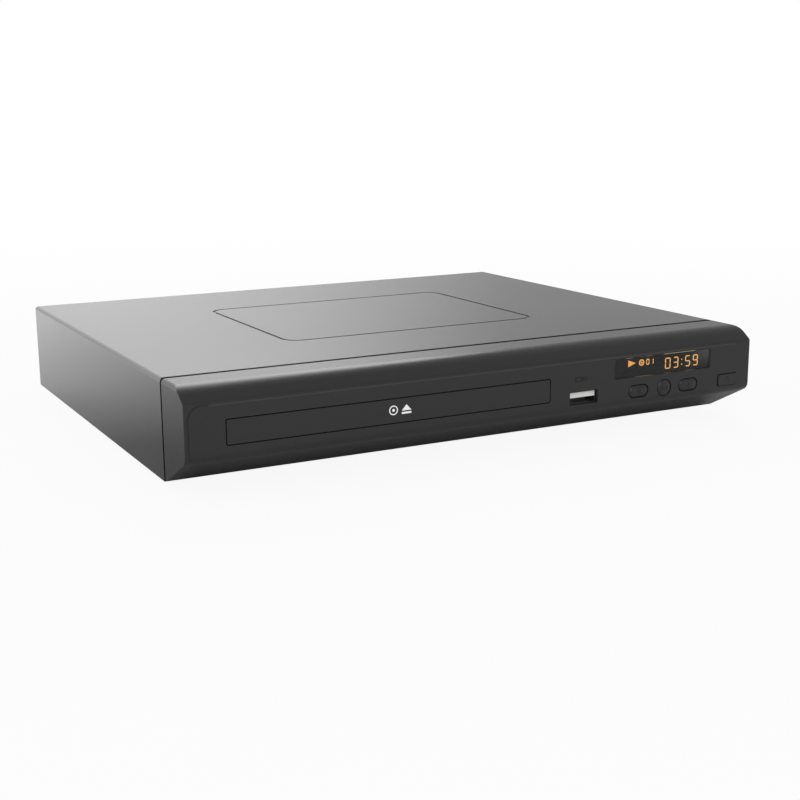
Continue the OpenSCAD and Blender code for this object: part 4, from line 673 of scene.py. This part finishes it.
def capped(cap, straight, radius):
    """The same grain on a cap whose rim is rolled off all round a flat middle."""
    def recipe(place):
        pits = speckle(place, 0.00028, 3.0)
        off = (axis(place, "X") - cap.x).math("ABSOLUTE") - straight
        off = off.math("MAXIMUM", 0.0) * (1 / radius)
        rise_by = (axis(place, "Z") - cap.z) * (1 / radius)
        ring = off * off + rise_by * rise_by
        return place.node("BsdfPrincipled", None, {
            "Base Color": pits.tint((0.024, 0.024, 0.024), (0.029, 0.029, 0.0285)),
            "Roughness": 0.3 + pits * 0.06, "IOR": 1.45,
            "Normal": relief(place, 1 - ring * ring + pits * 0.01, 0.0006)})
    return recipe


stop_cap, play_cap = middle_of("stop_button"), middle_of("play_button")
eject_cap, power_cap = middle_of("eject_button"), middle_of("power_button")
dress("front_bezel tray_door power_button", finish("bezel_skin", eroded))
dress("stop_button", finish("stop_skin", capped(stop_cap, 0.0023, 0.0026)))
dress("play_button", finish("play_skin", capped(play_cap, 0.0, 0.0035)))
dress("eject_button", finish("eject_skin", capped(eject_cap, 0.0023, 0.0026)))

# White print on the door: a disc and the sign for eject.


def print_white(place):
    # The ink also glows faintly: painted light that keeps the print bright.
    ink = speckle(place, 0.0002)
    return place.node("BsdfPrincipled", None, {
        "Base Color": ink.tint((0.9, 0.9, 0.89), (0.96, 0.96, 0.95)), "Roughness": 0.5 + ink * 0.1,
        "Emission Color": (1, 1, 1, 1), "Emission Strength": 0.18})


def print_dark(dark, light):
    """Dull ink between two greys, a little darker than what it is printed on."""
    def recipe(place):
        ink = speckle(place, 0.0002)
        return place.node("BsdfPrincipled", None, {
            "Base Color": ink.tint((dark, dark, dark), (light, light, light)),
            "Roughness": 0.5 + ink * 0.1})
    return recipe


white_ink = finish("white_ink", print_white)
dark_ink = finish("dark_ink", print_dark(0.006, 0.01))
faint_ink = finish("faint_ink", print_dark(0.012, 0.016))
on_door = {"y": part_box("tray_door")[0].y - 0.00003, "thick": 0.00008}
door = middle_of("tray_door")
gather([flat_sign(48, door.x - 0.002, door.z + 0.0003, 0.0036, 0.0036, hole=0.78, **on_door),
        flat_sign(24, door.x - 0.002, door.z + 0.0003, 0.0011, 0.0011, **on_door),
        flat_sign(3, door.x + 0.0034, door.z + 0.0009, 0.0040, 0.0022, **on_door),
        slab(door.x + 0.0034, door.z - 0.0011, 0.0040, 0.0007, **on_door)])
settle("door_print", "tray", "bezel_plastic", white_ink)

# A plain plug outline sunk over the socket, and the usual signs on the four buttons.
on_panel = {"y": panel_front - 0.00002, "thick": 0.00006}
usb = middle_of("usb_shell")
gather([slab(usb.x - 0.00265, usb.z + 0.0075, 0.0032, 0.0022, hole=0.72, **on_panel),
        slab(usb.x + 0.00025, usb.z + 0.0075, 0.0022, 0.0015, hole=0.62, **on_panel)])
settle("plug_sign", "housing", "bezel_plastic", dark_ink)
on_cap = {"y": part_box("stop_button")[0].y + 0.00008, "thick": 0.0002}
gather([slab(stop_cap.x, stop_cap.z, 0.0018, 0.0018, **on_cap)])
settle("stop_sign", "stop_button", "button_plastic", faint_ink)
gather([flat_sign(3, play_cap.x - 0.0007, play_cap.z, 0.0016, 0.0017, turn=math.pi / 2, **on_cap),
        slab(play_cap.x + 0.0006, play_cap.z, 0.00032, 0.0017, **on_cap),
        slab(play_cap.x + 0.0013, play_cap.z, 0.00032, 0.0017, **on_cap)])
settle("pause_sign", "play_button", "button_plastic", faint_ink)
gather([flat_sign(3, eject_cap.x, eject_cap.z + 0.0004, 0.0021, 0.0012, **on_cap),
        slab(eject_cap.x, eject_cap.z - 0.0007, 0.0021, 0.00035, **on_cap)])
settle("eject_sign", "eject_button", "button_plastic", faint_ink)
on_power = {"y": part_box("power_button")[0].y + 0.00001, "thick": 0.00006}
gather([flat_sign(32, power_cap.x, power_cap.z - 0.0001, 0.0023, 0.0023, hole=0.76, **on_power),
        slab(power_cap.x, power_cap.z + 0.0009, 0.0003, 0.0012, **on_power)])
settle("power_sign", "power_button", "button_plastic", faint_ink)

# ---------------------------------------------------------------- cover and back panel
# Folded sheet steel with a black powder coat, smooth enough to mirror the room softly at
# a low angle, with painted shade on its cut front edge and on a band behind it that widens the seam.
# The screws that hold it are blackened steel.
cover_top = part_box("top_cover")[1].z


def powder_coat(place):
    peel = speckle(place, 0.0012, 1.0)
    cloud = speckle(place, 0.06)
    coat = place.node("BsdfPrincipled", None, {
        "Base Color": cloud.tint((0.026, 0.026, 0.0265), (0.032, 0.032, 0.0325)),
        "Roughness": 0.2 + cloud * 0.04, "Normal": relief(place, peel, 0.000003, 0.4)})
    inwards, below_top = axis(place, "Y") - cover_front, cover_top - axis(place, "Z")
    # Painted shade: the cut front edge, and a narrow band of the top behind it, are near-black and
    # dull.
    cut_edge_shade = 1 - inwards.between(0.00005, 0.0001)
    cover_shade_band = (1 - inwards.between(0.00105, 0.00135)) * (1 - below_top.between(0.0002, 0.0005))
    edge_shade = place.node("BsdfDiffuse", None, {"Color": (0.0055, 0.0055, 0.0055, 1)})
    return place.node("MixShader", None, {
        0: cut_edge_shade.math("MAXIMUM", cover_shade_band * 0.85), 1: coat, 2: edge_shade})


def black_oxide(place):
    wear = speckle(place, 0.0015, 4.0)
    return place.node("BsdfPrincipled", None, {
        "Base Color": wear.tint((0.02, 0.02, 0.021), (0.05, 0.05, 0.052)), "Metallic": 0.8,
        "Roughness": 0.36 + wear * 0.14})


dress("top_cover rear_panel", finish("powder_coat", powder_coat))
dress("rear_screws", finish("black_oxide", black_oxide))
